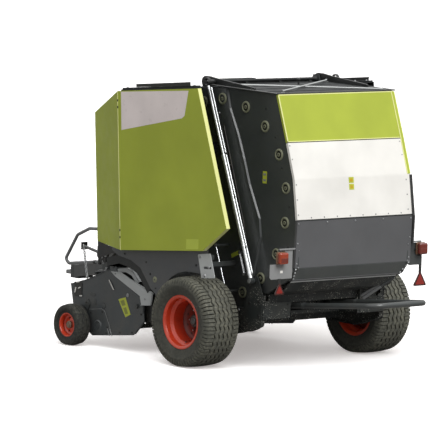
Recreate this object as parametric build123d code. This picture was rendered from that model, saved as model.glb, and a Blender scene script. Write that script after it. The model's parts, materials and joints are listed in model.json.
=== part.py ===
"""Round baler with a fixed roller chamber, towed, as it parks on its wheels and its jack.

Millimetres. X points forward to the tractor, Y to the machine's left, Z up, with Z = 0 on the ground.
While the pieces are made, X is counted from the chamber's centre line; write_node() then moves every
piece so that the origin is below the middle of the whole length.
"""

from build123d import *

import math
import os

# ---- bale chamber -------------------------------------------------------------------------------
bale_diameter = 1550.0
chamber_width = 1200.0
chamber_z = 1509.0
roller_diameter = 190.0
roller_wall = 6.0
roller_end_gap = 6.0
roller_circle_r = bale_diameter / 2 + roller_diameter / 2
axle_stub_r = 20.0

# ---- walls --------------------------------------------------------------------------------------
wall_inner_y = chamber_width / 2 + 40.0
wall_t = 8.0
wall_outer_y = wall_inner_y + wall_t
rim_outer_y = wall_outer_y + 61.0
rim_t = 8.0
parting_gap = 10.0
bearing_r = 52.0
bearing_face_y = wall_outer_y + 56.0
running_gap = 0.05

# ---- tailgate hinge and rear profile: (x, z) of the outside face ----------------------------------
hinge_x = 260.0
hinge_z = 2512.0
hinge_tube_r = 25.0
hinge_arm_t = 22.0
gate_top = (-722.0, 2466.0)
gate_seam_upper = (-869.0, 2058.0)
gate_bend = (-972.0, 1747.0)
gate_seam_lower = (-1025.0, 1392.0)
gate_foot = (-1012.0, 976.0)
gate_lip = (-930.0, 862.0)
gate_tail = (-894.0, 843.0)
panel_t = 5.0
panel_return = 24.0
panel_half_y = wall_outer_y + 36.0
seam_gap = 3.0
roof_front = (146.0, 2492.0)
roof_t = 6.0
brace_r = 13.0

# ---- hoods (gull-wing side doors) ---------------------------------------------------------------
hood_outer_y = wall_outer_y + 522.0
hood_front_y = wall_outer_y + 302.0
hood_sheet_t = 3.5
hood_flange = 32.0
hood_rear_top = (-215.0, 2494.0)
hood_fold_top = (877.0, 2395.0)
hood_front_top = (1456.0, 2157.0)
hood_front_foot = (1367.0, 1000.0)
hood_fold_foot = (779.0, 984.0)
hood_rear_foot = (-346.0, 1085.0)
hood_rear_corner = (-651.0, 1307.0)
hood_hinge_y = wall_outer_y + 456.0
hood_hinge_drop = 16.0
hood_hinge_r = 8.0
roof_half_y = wall_outer_y + 412.0
wing_inner_y = wall_outer_y + 154.0
roof_end_x = 960.0

# ---- net box ahead of the chamber ---------------------------------------------------------------
net_box_half_y = wall_outer_y + 252.0
net_box_rear_x = 1066.0
net_box_foot_z = 1330.0
net_sheet_t = 5.0
net_lid_foot = (1412.0, 1640.0)

# ---- running gear -------------------------------------------------------------------------------
axle_x = -102.0
wheel_r = 400.0
ground_z = 35.0                    # the ground, counted on the drawing
axle_z = ground_z + wheel_r
wheel_width = 390.0
wheel_y = wall_outer_y + 381.0
rim_bead_r = 216.0
rim_flange_r = 236.0
rim_width = 330.0
rim_wall = 7.0
hub_r = 82.0
hub_length = 110.0
hub_inset = 95.0
axle_size = 100.0
axle_wall = 8.0
spindle_r = 32.0
hanger_y = rim_outer_y + 8.0
hanger_t = 10.0

# ---- pickup, feed rotor and gauge wheels ----------------------------------------------------------
pickup_side_y = wall_outer_y + 302.0
pickup_side_t = 8.0
reel_x = 1250.0
reel_z = 420.0
reel_shaft_r = 25.0
band_r = 205.0
band_t = 4.0
band_count = 25
band_width = 50.0
tine_bar_r = 150.0
tine_tip_r = 236.0
pickup_pivot_x = 770.0
pickup_pivot_z = 470.0
pickup_pin_r = 20.0
rotor_x = 775.0
rotor_z = 605.0
rotor_r = 200.0
rotor_shaft_r = 30.0
gauge_r = 190.0
gauge_z = ground_z + gauge_r
gauge_width = 150.0
gauge_x = 1565.0
gauge_y = pickup_side_y + 116.0
gauge_bead_r = 100.0
gauge_flange_r = 116.0
gauge_spindle_r = 14.0
gauge_rim_width = 114.0
gauge_rim_wall = 4.0
guard_pivot = (1130.0, 795.0)
guard_front = (1520.0, 690.0)
guard_tube_r = 18.0
guard_half_y = pickup_side_y - 100.0

# ---- front beam, gearbox and drawbar ----------------------------------------------------------------
beam_rear_x = 1054.0
beam_front_x = 1120.0
beam_low_z = 1030.0
beam_high_z = 1170.0
beam_half_y = wall_outer_y + 72.0
gearbox_front_x = 1335.0
pto_r = 17.5
pto_length = 90.0
pto_z = 1090.0
cross_x = 1225.0
cross_z = 1236.0
hitch_x = 2900.0
hitch_z = 520.0
hitch_eye_r = 25.0
hitch_ring_r = 55.0
hitch_ring_t = 32.0
jack_x = 2280.0
jack_y = -232.0
jack_tube_r = 32.0
jack_leg_r = 25.0
hoop_y = wall_outer_y + 248.0

# ---- bale kicker, lift cylinders, lamps -----------------------------------------------------------
kicker_rear_x = -1650.0
kicker_half_y = 310.0
kicker_rear_z = 692.0
kicker_tube_r = 25.0
kicker_pivot_x = -390.0
kicker_pivot_z = 566.0
kicker_pin_r = 15.0
cylinder_y = wall_outer_y + 114.0
cylinder_foot = (-535.0, 822.0)
cylinder_head = (130.0, 2520.0)
barrel_r = 22.5
rod_r = 15.0
barrel_length = 1150.0
eye_width = 28.0
eye_pin_r = 11.0
eye_drift = 18.0
lamp_y = panel_half_y + 154.0
lamp_z = 1073.0
lamp_r = 52.0
lamp_rear_x = -1075.0

FRONT_REACH = hitch_x + hitch_ring_r
REAR_REACH = kicker_rear_x - kicker_tube_r
MID_X = (FRONT_REACH + REAR_REACH) / 2


# ---- makers -------------------------------------------------------------------------------------
def side_sheet(outline, y_low, y_high):
    """Flat piece cut to an (x, z) outline, from y_low to y_high."""
    plane = Plane(origin=(0, y_high, 0), x_dir=(1, 0, 0), z_dir=(0, -1, 0))
    return extrude(plane * Polygon(*outline), amount=y_high - y_low, dir=(0, -1, 0))


def block(x_low, x_high, y_low, y_high, z_low, z_high):
    """Box between two corners."""
    size = (x_high - x_low, y_high - y_low, z_high - z_low)
    return Pos((x_low + x_high) / 2, (y_low + y_high) / 2, (z_low + z_high) / 2) * Box(*size)


def round_y(x, z, radius, y_low, y_high, bore=0.0):
    """Shaft along Y, or a ring when it has a bore."""
    shape = Cylinder(radius, y_high - y_low)
    if bore > 0:
        shape -= Cylinder(bore, y_high - y_low)
    return Pos(x, (y_low + y_high) / 2, z) * Rot(90, 0, 0) * shape


def rod_between(start, end, radius, bore=0.0):
    """Round bar or tube from one point to another."""
    start, end = Vector(*start), Vector(*end)
    length = (end - start).length
    low = (Align.CENTER, Align.CENTER, Align.MIN)
    shape = Cylinder(radius, length, align=low)
    if bore > 0:
        shape -= Cylinder(bore, length, align=low)
    return Plane(origin=start, z_dir=end - start) * shape


def bent_tube(points, bend_r, radius, wall):
    """Round tube along straight runs joined by arcs."""
    path = FilletPolyline(*points, radius=bend_r)
    plane = Plane(origin=path @ 0, z_dir=path % 0)
    return sweep(plane * Circle(radius), path=path) - sweep(plane * Circle(radius - wall), path=path)


def set_off(points, distance):
    """The same (x, z) line moved square to itself; positive is to the right of its direction."""
    normals = []
    for (x0, z0), (x1, z1) in zip(points, points[1:]):
        run = math.hypot(x1 - x0, z1 - z0)
        normals.append(((z1 - z0) / run, -(x1 - x0) / run))
    moved = []
    for i, (x, z) in enumerate(points):
        near = normals[max(i - 1, 0)]
        far = normals[min(i, len(normals) - 1)]
        share = 1 + near[0] * far[0] + near[1] * far[1]
        moved.append((x + distance * (near[0] + far[0]) / share, z + distance * (near[1] + far[1]) / share))
    return moved


def bent_sheet(points, thickness, y_low, y_high):
    """Sheet bent along an (x, z) line; a positive thickness lies to the right of its direction."""
    return side_sheet(list(points) + set_off(points, thickness)[::-1], y_low, y_high)


def both_sides(y_low, y_high):
    """The y ranges of a piece on the left and of its twin on the right."""
    return ((y_low, y_high), (-y_high, -y_low))


def mirrored(shape):
    """The same piece on the machine's other side."""
    return mirror(shape, about=Plane.XZ)


def joined(shapes):
    """One shape from several that touch."""
    shapes = list(shapes)
    total = shapes[0]
    for shape in shapes[1:]:
        total += shape
    return total


def write_node(name, *shapes):
    """Write one node; pieces that do not touch stay separate solids in the one file."""
    solids = [Pos(-MID_X, 0, -ground_z) * solid for shape in shapes for solid in shape.solids()]
    export_step(solids[0] if len(solids) == 1 else Compound(children=solids), f"parts/{name}.step")


def part_way(start, end, share):
    """Point part of the way from one (x, z) to another."""
    return (start[0] + (end[0] - start[0]) * share, start[1] + (end[1] - start[1]) * share)


def shifted(point, towards, distance):
    """Point moved a distance along the line to another point."""
    return part_way(point, towards, distance / math.dist(point, towards))


# ---- rollers and bearings -----------------------------------------------------------------------
# angles of the rollers about the chamber's centre, in degrees from straight back, upwards
GATE_ROLLERS = (90, 70, 50, 30, 10, -10, -30, -50)
FRAME_ROLLERS = (110, 130, 150, 170, 190, 210, -70, -90, -110)


def roller_place(angle_deg):
    """(x, z) of a roller's centre."""
    turn = math.radians(angle_deg)
    return (-roller_circle_r * math.cos(turn), chamber_z + roller_circle_r * math.sin(turn))


def roller(angle_deg):
    """Hollow steel roller with its end discs and the axle stubs into the walls."""
    place = roller_place(angle_deg)
    end_y = chamber_width / 2 - roller_end_gap
    piece = round_y(*place, roller_diameter / 2, -end_y, end_y, roller_diameter / 2 - roller_wall)
    for low, high in both_sides(end_y - 12, end_y):
        piece += round_y(*place, roller_diameter / 2 - 1, low, high)
    for low, high in both_sides(end_y - 20, wall_inner_y):
        piece += round_y(*place, axle_stub_r, low, high)
    return piece


def bearing(angle_deg):
    """Bearing housing on the outside of the left wall: flange, hub and axle end."""
    place = roller_place(angle_deg)
    piece = round_y(*place, bearing_r, wall_outer_y, wall_outer_y + 14)
    piece += round_y(*place, bearing_r * 0.68, wall_outer_y + 14, bearing_face_y - 14)
    return piece + round_y(*place, axle_stub_r, bearing_face_y - 14, bearing_face_y)


# ---- parting line between the main frame and the tailgate -----------------------------------------
parting_top = (160.0, 2482.0)
parting_foot = (-450.0, 734.0)
GATE_EDGE = set_off([parting_top, parting_foot], parting_gap / 2)
FRAME_EDGE = set_off([parting_top, parting_foot], -parting_gap / 2)

# ---- tailgate -----------------------------------------------------------------------------------
gate_back = set_off([gate_top, gate_seam_upper, gate_bend, gate_seam_lower, gate_foot, gate_lip, gate_tail],
                    -panel_t - 0.3)
gate_under = (-640.0, 716.0)
roof_rear = (gate_top[0] - 2.0, gate_top[1] + 8.0)


def roof_height(x):
    """Height of the tailgate roof's top face."""
    return roof_front[1] + (roof_rear[1] - roof_front[1]) * (x - roof_front[0]) / (roof_rear[0] - roof_front[0])


gate_outline = [(x, roof_height(x) - roof_t - 0.3) for x in (GATE_EDGE[0][0], gate_back[0][0] + 3)]
gate_outline += [*gate_back[1:], gate_under, (-472.0, 702.0), GATE_EDGE[1]]


def gate_side():
    """Left side plate of the tailgate with a rim along its back, its foot and its parting edge."""
    plate = side_sheet(gate_outline, wall_inner_y, wall_outer_y)
    plate += bent_sheet(GATE_EDGE, rim_t, wall_outer_y, rim_outer_y)
    return plate + bent_sheet(gate_back, -rim_t, wall_outer_y, panel_half_y - panel_t)


def gate_panel(points):
    """One rear panel: a sheet across the tailgate with a return along each side."""
    sheet = bent_sheet(points, -panel_t, -panel_half_y, panel_half_y)
    for low, high in both_sides(panel_half_y - panel_t, panel_half_y):
        sheet += bent_sheet(points, -panel_return, low, high)
    return sheet


def gate_roof():
    """Sheet over the tailgate's top rollers."""
    return bent_sheet([roof_rear, roof_front], roof_t, -rim_outer_y, rim_outer_y)


def roof_braces():
    """Crossed round stays on the tailgate's roof: (x, y) of each end."""
    reach = wall_outer_y - 53.0
    stays = (((90.0, reach), (-690.0, -reach)), ((-690.0, reach), (40.0, -reach)))
    lift = brace_r + 0.3
    return joined(rod_between((ax, ay, roof_height(ax) + lift), (bx, by, roof_height(bx) + lift), brace_r)
                  for (ax, ay), (bx, by) in stays)


def gate_arm():
    """Left hinge arm on the tailgate's roof edge, with the pin for the lift cylinder."""
    arm_y = wall_outer_y + 8.0
    outline = [(-400, roof_height(-400) + 0.3), (-400, roof_height(-400) + 22), (90, 2548), (200, 2562),
               (266, 2562), (298, 2546), (310, 2512), (298, 2478), (266, 2462), (222, 2474),
               (170, roof_height(170) + 0.3)]
    arm = side_sheet(outline, arm_y, arm_y + hinge_arm_t)
    arm -= round_y(hinge_x, hinge_z, hinge_tube_r + running_gap, arm_y - 1, arm_y + hinge_arm_t + 1)
    return arm + round_y(*cylinder_head, eye_pin_r, arm_y + hinge_arm_t, cylinder_y + eye_width / 2 + 6)


# ---- main frame ---------------------------------------------------------------------------------
hood_slope = (hood_fold_top[1] - hood_rear_top[1]) / (hood_fold_top[0] - hood_rear_top[0])


def hood_top_z(x):
    """Height of the hoods' straight top edge, carried on past its ends."""
    return hood_rear_top[1] + hood_slope * (x - hood_rear_top[0])


frame_front = [(905.0, 2270.0), (1040.0, 1900.0), (1050.0, 1250.0), (975.0, 900.0)]
roof_lift = 14.0
roof_low = roof_lift - roof_t - 0.3
wall_outline = [FRAME_EDGE[0], (205.0, 2494.0), (222.0, 2548.0), (298.0, 2548.0), (334.0, 2460.0),
                (334.0, hood_top_z(334) + roof_low), (700.0, hood_top_z(700) + roof_low), *frame_front, (985.0, 700.0),
                (985.0, 370.0), (600.0, 345.0), (480.0, 520.0), (-430.0, 520.0), (-455.0, 700.0), FRAME_EDGE[1]]


def side_wall():
    """Left wall of the frame with the feed rotor's bore and a rim along its parting edge."""
    wall = side_sheet(wall_outline, wall_inner_y, wall_outer_y)
    wall += bent_sheet(FRAME_EDGE, -rim_t, wall_outer_y, rim_outer_y - 20)
    wall -= round_y(hinge_x, hinge_z, hinge_tube_r, wall_inner_y - 1, wall_outer_y + 1)
    return wall - round_y(rotor_x, rotor_z, rotor_shaft_r + running_gap, wall_inner_y - 1, wall_outer_y + 1)


def chassis():
    """Welded base under the walls: two rails and two cross-members, with the kicker's lugs on the rear one."""
    rail_y = wall_inner_y - 80
    rails = [block(-430, 470, low, high, axle_top_z, 519.7) for low, high in both_sides(rail_y, wall_inner_y)]
    crosses = [block(x, x + 80, -rail_y - 40, rail_y + 40, axle_top_z, 519.7) for x in (-430, 370)]
    lugs = []
    for low, high in both_sides(kicker_half_y - 42, kicker_half_y + 42):
        lugs.append(round_y(kicker_pivot_x, kicker_pivot_z, kicker_pin_r, low, high))
        for start in (low, high - 12):
            lugs.append(block(kicker_pivot_x - 28, kicker_pivot_x + 28, start, start + 12, 510, kicker_pivot_z))
            lugs.append(round_y(kicker_pivot_x, kicker_pivot_z, 28, start, start + 12))
    return joined(rails + crosses + lugs)


axle_top_z = axle_z + axle_size / 2 + 0.3


def front_beam():
    """Box beam across the front that the drawbar and the gearbox bolt to."""
    wall = 8.0
    beam = block(beam_rear_x, beam_front_x, -beam_half_y, beam_half_y, beam_low_z, beam_high_z)
    return beam - block(beam_rear_x + wall, beam_front_x - wall, -beam_half_y - 1, beam_half_y + 1,
                        beam_low_z + wall, beam_high_z - wall)


def beam_brackets():
    """Plates from the walls' front edges to the front beam."""
    outline = [(930, 1010), (1120, 1010), (1120, 1200), (960, 1200)]
    plate = side_sheet(outline, beam_half_y + 0.3, beam_half_y + 10)
    bracket = plate + block(945, 1000, wall_outer_y, beam_half_y + 1, 1020, 1190)
    return [bracket, mirrored(bracket)]


def drawbar():
    """A-shaped box-section drawbar that drops behind the tractor, with its hitch eye."""
    beams = []
    for side in (1, -1):
        points = [Vector(beam_front_x - 20, side * 434, 1104), Vector(1800, side * 270, 1010),
                  Vector(2230, side * 165, 640), Vector(hitch_x - 130, side * 50, hitch_z + 18)]
        path = Polyline(*points)
        plane = Plane(origin=points[0], x_dir=(0, 1, 0), z_dir=points[1] - points[0])
        beams.append(sweep(plane * Rectangle(70, 110), path=path, transition=Transition.RIGHT))
    nose = block(hitch_x - 210, hitch_x - 90, -88, 88, hitch_z - 42, hitch_z + 82)
    neck = block(hitch_x - 95, hitch_x - 30, -34, 34, hitch_z - hitch_ring_t / 2, hitch_z + hitch_ring_t / 2)
    ring = Pos(hitch_x, 0, hitch_z) * Cylinder(hitch_ring_r, hitch_ring_t)
    arm = block(jack_x - 30, jack_x + 30, jack_y + jack_tube_r - 4, -150, 590, 650)
    shape = joined(beams + [nose, neck, ring, arm])
    shape -= block(beam_front_x - 300, beam_front_x + 0.3, -600, 600, 900, 1300)
    return shape - Pos(hitch_x, 0, hitch_z) * Cylinder(hitch_eye_r, 60) \
        - Pos(jack_x, jack_y, 600) * Cylinder(jack_tube_r, 400)


def jack_tube():
    """Outer tube of the parking jack with its gear head."""
    low = (Align.CENTER, Align.CENTER, Align.MIN)
    tube = Pos(jack_x, jack_y, 330) * Cylinder(jack_tube_r - 0.3, 470, align=low)
    tube += Pos(jack_x, jack_y, 800) * Cylinder(jack_tube_r + 8, 40, align=low)
    return tube - Pos(jack_x, jack_y, 329) * Cylinder(jack_leg_r + 0.4, 440, align=low)


def jack_leg():
    """Inner leg of the parking jack on its round foot."""
    low = (Align.CENTER, Align.CENTER, Align.MIN)
    leg = Pos(jack_x, jack_y, ground_z + 10) * Cylinder(jack_leg_r, 700 - ground_z, align=low)
    return leg + Pos(jack_x, jack_y, ground_z) * Cylinder(85, 12, align=low)


def gearbox():
    """Drive gearbox ahead of the beam with its splined input and the cross drive to the left."""
    case = block(beam_front_x + 0.3, gearbox_front_x, -105, 105, 1012, 1188)
    case += round_y(cross_x, cross_z, 74, -118, 118) + block(cross_x - 60, cross_x + 60, -90, 90, 1180, 1230)
    case += rod_between((gearbox_front_x, 0, pto_z), (gearbox_front_x + pto_length, 0, pto_z), pto_r)
    return case + round_y(cross_x, cross_z, 34, 118, beam_half_y + 80)


# ---- wheels -------------------------------------------------------------------------------------
def ring_about_y(section):
    """Ring from an (r, y) section turned about Y at the origin."""
    return revolve(make_face(Polyline(*[(r, y, 0) for r, y in section], close=True)), axis=Axis.Y)


def tyre(radius, width, bead_r, flange_r, bead_y, wall):
    """Tyre casing, open towards the rim, with its beads just inside the rim's flanges at bead_y."""
    half = width / 2
    crown = radius * 0.985
    outer = [(bead_r + 0.3, bead_y), (flange_r + 2, bead_y + 2), (flange_r + 14, (half + bead_y * 2) / 3),
             ((bead_r + radius) / 2, half), (radius - wall * 2.2, half - wall * 0.8), (crown, half - wall * 2.4),
             (radius, half - wall * 4.5)]
    inner = [(bead_r + 0.3, bead_y - wall), (flange_r + 10, bead_y - wall * 0.6),
             ((bead_r + radius) / 2, half - wall), (radius - wall * 1.6, half - wall * 2.4)]
    outline = outer + [(r, -y) for r, y in outer[::-1]]
    cavity = inner + [(r, -y) for r, y in inner[::-1]]
    return ring_about_y(outline + cavity[::-1])


def rim(bead_r, flange_r, width, wall, disc_y):
    """Dished rim: a drop-centre barrel with a disc across it."""
    half = width / 2
    well_r = bead_r * 0.87
    side = [(flange_r, half), (flange_r, half - wall * 1.4), (bead_r, half - wall * 2), (bead_r, half - width * 0.18),
            (well_r, half - width * 0.27)]
    outer = side + [(r, -y) for r, y in side[::-1]]
    inner = [(r - wall, y) for r, y in outer]
    return ring_about_y(outer + inner[::-1]) + round_y(0, 0, well_r - wall / 2, disc_y - 5, disc_y + 5)


def main_wheel():
    """Tyre and rim of the left wheel; the hub's bore runs on the axle's spindle."""
    place = Pos(axle_x, wheel_y, axle_z)
    disc_y = hub_length / 2 - hub_inset
    dish = rim(rim_bead_r, rim_flange_r, rim_width, rim_wall, disc_y)
    dish += round_y(0, 0, hub_r, -hub_inset, hub_length - hub_inset)
    dish -= round_y(0, 0, spindle_r + running_gap, -hub_inset - 1, hub_length - hub_inset - 20)
    casing = tyre(wheel_r, wheel_width, rim_bead_r, rim_flange_r, rim_width / 2 - 2.1 * rim_wall, 15.0)
    return place * casing, place * dish


def gauge_wheel():
    """Tyre and rim of the left gauge wheel of the pickup."""
    place = Pos(gauge_x, gauge_y, gauge_z)
    dish = rim(gauge_bead_r, gauge_flange_r, gauge_rim_width, gauge_rim_wall, 6.0)
    dish += round_y(0, 0, 34, -42, 40)
    dish -= round_y(0, 0, gauge_spindle_r + running_gap, -43, 25)
    casing = tyre(gauge_r, gauge_width, gauge_bead_r, gauge_flange_r, gauge_rim_width / 2 - 2.1 * gauge_rim_wall, 7.0)
    return place * casing, place * dish


def axle():
    """Square axle across the machine with a turned spindle at each end."""
    half, hub_inner = axle_size / 2, wheel_y - hub_inset
    end_y = hub_inner - 20
    beam = block(axle_x - half, axle_x + half, -end_y, end_y, axle_z - half, axle_z + half)
    hollow = half - axle_wall
    beam -= block(axle_x - hollow, axle_x + hollow, -end_y + 30, end_y - 30, axle_z - hollow, axle_z + hollow)
    spindles = [round_y(axle_x, axle_z, spindle_r, low, high)
                for low, high in both_sides(end_y - 5, hub_inner + hub_length - 22)]
    return joined([beam] + spindles)


def axle_hanger():
    """Left plate that holds the axle and the foot of the lift cylinder."""
    outline = [(150, 566), (120, 360), (60, 330), (-280, 322), (-420, 352), (-640, 420), (-650, 700),
               (-575, 864), (-505, 864), (-476, 740), (-400, 566)]
    plate = side_sheet(outline, hanger_y, hanger_y + hanger_t)
    slot = axle_size / 2 + 0.3
    plate -= block(axle_x - slot, axle_x + slot, hanger_y - 1, hanger_y + hanger_t + 1, axle_z - slot, axle_z + slot)
    for x in (40, -300):
        plate += block(x - 60, x + 60, wall_outer_y, hanger_y, 524, 560)
    return plate + round_y(*cylinder_foot, eye_pin_r, hanger_y + hanger_t, cylinder_y + eye_width / 2 + 4)


def kicker():
    """Long tube hoop that reaches back from two pivot eyes under the chamber."""
    x, z = shifted((kicker_pivot_x, kicker_pivot_z), (kicker_rear_x, kicker_rear_z), 30.0)
    points = [(x, kicker_half_y, z), (kicker_rear_x, kicker_half_y, kicker_rear_z),
              (kicker_rear_x, -kicker_half_y, kicker_rear_z), (x, -kicker_half_y, z)]
    shape = bent_tube(points, 120.0, kicker_tube_r, 5.0)
    for low, high in both_sides(kicker_half_y - 24, kicker_half_y + 24):
        shape += round_y(kicker_pivot_x, kicker_pivot_z, 36, low, high, kicker_pin_r + running_gap)
    return shape


# ---- lift cylinders -----------------------------------------------------------------------------
lift_run = math.dist(cylinder_foot, cylinder_head)


def lift_point(distance):
    """Point of the left cylinder's axis at a distance from its foot pin."""
    x, z = shifted(cylinder_foot, cylinder_head, distance)
    return (x, cylinder_y, z)


def barrel():
    """Cylinder barrel with its foot eye and a bore for the rod."""
    low, high = cylinder_y - eye_width / 2, cylinder_y + eye_width / 2
    piece = round_y(*cylinder_foot, 26.0, low, high) + rod_between(lift_point(20), lift_point(barrel_length), barrel_r)
    piece -= rod_between(lift_point(60), lift_point(barrel_length + 1), rod_r + running_gap)
    return piece - round_y(*cylinder_foot, eye_pin_r + running_gap, low - 9, high + 9)


def rod():
    """Piston rod with a roomy eye at its head."""
    low, high = cylinder_y - eye_width / 2, cylinder_y + eye_width / 2
    bore = eye_pin_r + eye_drift
    piece = round_y(*cylinder_head, bore + 9, low, high)
    piece += rod_between(lift_point(700), lift_point(lift_run - bore - 3), rod_r)
    return piece - round_y(*cylinder_head, bore, low - 1, high + 1)


# ---- hoods --------------------------------------------------------------------------------------
hood_foot_slope = (hood_fold_foot[1] - hood_rear_foot[1]) / (hood_fold_foot[0] - hood_rear_foot[0])
right_hood_cut = 300.0
hood_lean = (hood_fold_foot[0] - hood_fold_top[0]) / (hood_fold_top[1] - hood_fold_foot[1])


def plan_band(thickness):
    """The hood's wall seen from above, leaning with its fold, tall enough to be cut to its outline."""
    top_z, low_z = 2620.0, 850.0
    fold_x = hood_fold_top[0] - hood_lean * (top_z - hood_fold_top[1])
    chamfer = (hood_front_top[0] - hood_fold_top[0] + hood_lean * (hood_fold_top[1] - hood_front_top[1]) * -1,
               hood_front_y - hood_outer_y)
    reach = 1.2
    line = [(-900.0, hood_outer_y), (fold_x, hood_outer_y),
            (fold_x + reach * chamfer[0], hood_outer_y + reach * chamfer[1])]
    outline = line + set_off(line, thickness)[::-1]
    return extrude(Pos(0, 0, top_z) * Polygon(*outline), amount=top_z - low_z, dir=(hood_lean, 0, -1))


def hood(cut=0.0):
    """Left hood: a flat side, a leaning front chamfer, a return along every edge, and its hinges.

    Its rear end is cut short by the length asked for.
    """
    rear = [(x + cut, z + slope * cut) for (x, z), slope in
            ((hood_rear_foot, hood_foot_slope), (hood_rear_corner, 0.0), (hood_rear_top, hood_slope))]
    hood_side = [rear[2], hood_fold_top, hood_front_top, hood_front_foot, hood_fold_foot, rear[0], rear[1]]
    full = side_sheet(hood_side, hood_outer_y - 470, hood_outer_y + 130)
    inset = offset(Polygon(*hood_side), amount=-hood_sheet_t, kind=Kind.INTERSECTION)
    plane = Plane(origin=(0, hood_outer_y + 130, 0), x_dir=(1, 0, 0), z_dir=(0, -1, 0))
    core = extrude(plane * inset, amount=600, dir=(0, -1, 0))
    shell = (full & plan_band(hood_sheet_t)) + ((full - core) & plan_band(hood_flange))
    for x in HOOD_HINGES:
        pin_z = hood_hinge_z(x)
        strap = block(x - 30, x + 30, hood_hinge_y, hood_outer_y - 12, pin_z - 6, pin_z + hood_hinge_drop - 2)
        strap += rod_between(hood_axis_point(x - 30), hood_axis_point(x + 30), 16.0)
        shell += strap - rod_between(hood_axis_point(x - 60), hood_axis_point(x + 60), hood_hinge_r + running_gap)
    return shell


HOOD_HINGES = (140.0, 660.0)


def hood_hinge_z(x):
    """Height of the hoods' hinge axis."""
    return hood_top_z(x) - hood_hinge_drop


def hood_axis_point(x):
    """Point of the left hood's hinge axis."""
    return (x, hood_hinge_y, hood_hinge_z(x))


def hood_pins():
    """Hinge pins of the left hood on ears from the roof."""
    pieces = []
    for x in HOOD_HINGES:
        ears = [block(x + at - 5, x + at + 5, roof_half_y, hood_hinge_y + 12, hood_hinge_z(x) - 14, hood_hinge_z(x) + 14)
                for at in (-42, 42)]
        pieces.append(joined(ears + [rod_between(hood_axis_point(x - 46), hood_axis_point(x + 46), hood_hinge_r)]))
    return pieces


# ---- roof between the hoods, net box and its lid --------------------------------------------------
def front_roof():
    """Roof sheet ahead of the tailgate with a wing beside it, down-turned sides and the hood pins."""
    def line(x_rear, x_front):
        return [(x_rear, hood_top_z(x_rear) + roof_lift), (x_front, hood_top_z(x_front) + roof_lift)]

    shapes = [bent_sheet(line(340, roof_end_x), roof_t, -roof_half_y, roof_half_y)]
    for low, high in both_sides(wing_inner_y, roof_half_y):
        shapes.append(bent_sheet(line(-60, 345), roof_t, low, high))
    for low, high in both_sides(roof_half_y - roof_t, roof_half_y):
        shapes.append(bent_sheet(line(-60, roof_end_x), 60.0, low, high))
    for piece in hood_pins():
        shapes += [piece, mirrored(piece)]
    return joined(shapes)


def roof_posts():
    """Left stays from the wall to the roof's down-turned side."""
    return [block(x - 20, x + 20, wall_outer_y, roof_half_y - roof_t, z - 20, z + 20)
            for x, z in ((420.0, hood_top_z(420) - 40), (860.0, hood_top_z(860) - 60))]


def net_box_lugs():
    """Left lugs from the wall's front edge to the back of the net box."""
    return [block(985, net_box_rear_x - 0.3, wall_outer_y, wall_outer_y + 12, z - 50, z + 50) for z in (1400, 1800)]


lid_t = 4.0
lid_tube_r = 9.0
lid_pin_r = 4.5
net_top = [(roof_end_x + 18, hood_top_z(roof_end_x) + roof_lift), (hood_front_top[0] - 6, hood_front_top[1] + 14)]
lid_axis = set_off([shifted(net_top[0], net_top[1], 10.0), net_top[1]], lid_t + lid_tube_r - 1)[0]


def net_box():
    """Open-fronted box that holds the net rolls: two ends, a back, a floor and a low front."""
    ends_outline = [(net_box_rear_x, 2290.0), (net_top[0][0] + 4, net_top[0][1] - 16), (net_top[1][0] - 12, net_top[1][1] - 16),
                    (1400.0, 1640.0), (1368.0, net_box_foot_z), (net_box_rear_x, net_box_foot_z)]
    shapes = [side_sheet(ends_outline, low, high) for low, high in both_sides(net_box_half_y - net_sheet_t, net_box_half_y)]
    shapes.append(bent_sheet([(1385.0, 1630.0), (1368.0, net_box_foot_z), (net_box_rear_x, net_box_foot_z),
                              (net_box_rear_x, 2290.0)], net_sheet_t, -net_box_half_y, net_box_half_y))
    inner = net_box_half_y - net_sheet_t
    for low, high in both_sides(inner, net_box_half_y):
        shapes.append(round_y(*lid_axis, lid_pin_r + 2, low, high))
    for low, high in both_sides(inner - 30, inner):
        shapes.append(round_y(*lid_axis, lid_pin_r, low, high))
    return joined(shapes)


def net_lid():
    """Lid over the net box: its top, its front and the hinge tube below its rear edge."""
    inner = net_box_half_y - net_sheet_t - 1
    lid = bent_sheet([net_top[0], net_top[1], net_lid_foot], lid_t, -net_box_half_y, net_box_half_y)
    lid += round_y(*lid_axis, lid_tube_r, -inner, inner)
    for low, high in both_sides(inner - 40, inner + 1):
        lid -= round_y(*lid_axis, lid_pin_r + running_gap, low, high)
    return lid


def front_wall():
    """Sheet that closes the chamber's front between the walls."""
    return bent_sheet(set_off(frame_front, 8.0), 5.0, -wall_inner_y + 0.3, wall_inner_y - 0.3)


# ---- side skirts --------------------------------------------------------------------------------
skirt_outline = [(-335, 1100), (-335, 890), (372, 890), (420, 640), (700, 600), (780, 700), (900, 860),
                 (1010, 940), (770, 970), (740, 1030), (-300, 1120)]
skirt_y = wall_outer_y + 446.0
skirt_t = 6.0


def skirt():
    """Left lower side sheet below the hood, on three stays from the wall."""
    sheet = side_sheet(skirt_outline, skirt_y, skirt_y + skirt_t)
    for x, z in ((-180, 940), (440, 800), (860, 880)):
        sheet += block(x - 20, x + 20, wall_outer_y, skirt_y, z - 20, z + 20)
    return sheet


# ---- pickup -------------------------------------------------------------------------------------
pickup_outline = [(700, 540), (675, 342), (822, 201), (1404, 135), (1560, 230), (1690, 400), (1728, 571), (1494, 634),
                  (1170, 760), (1165, 828), (1095, 828), (1075, 755), (860, 600)]


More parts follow.
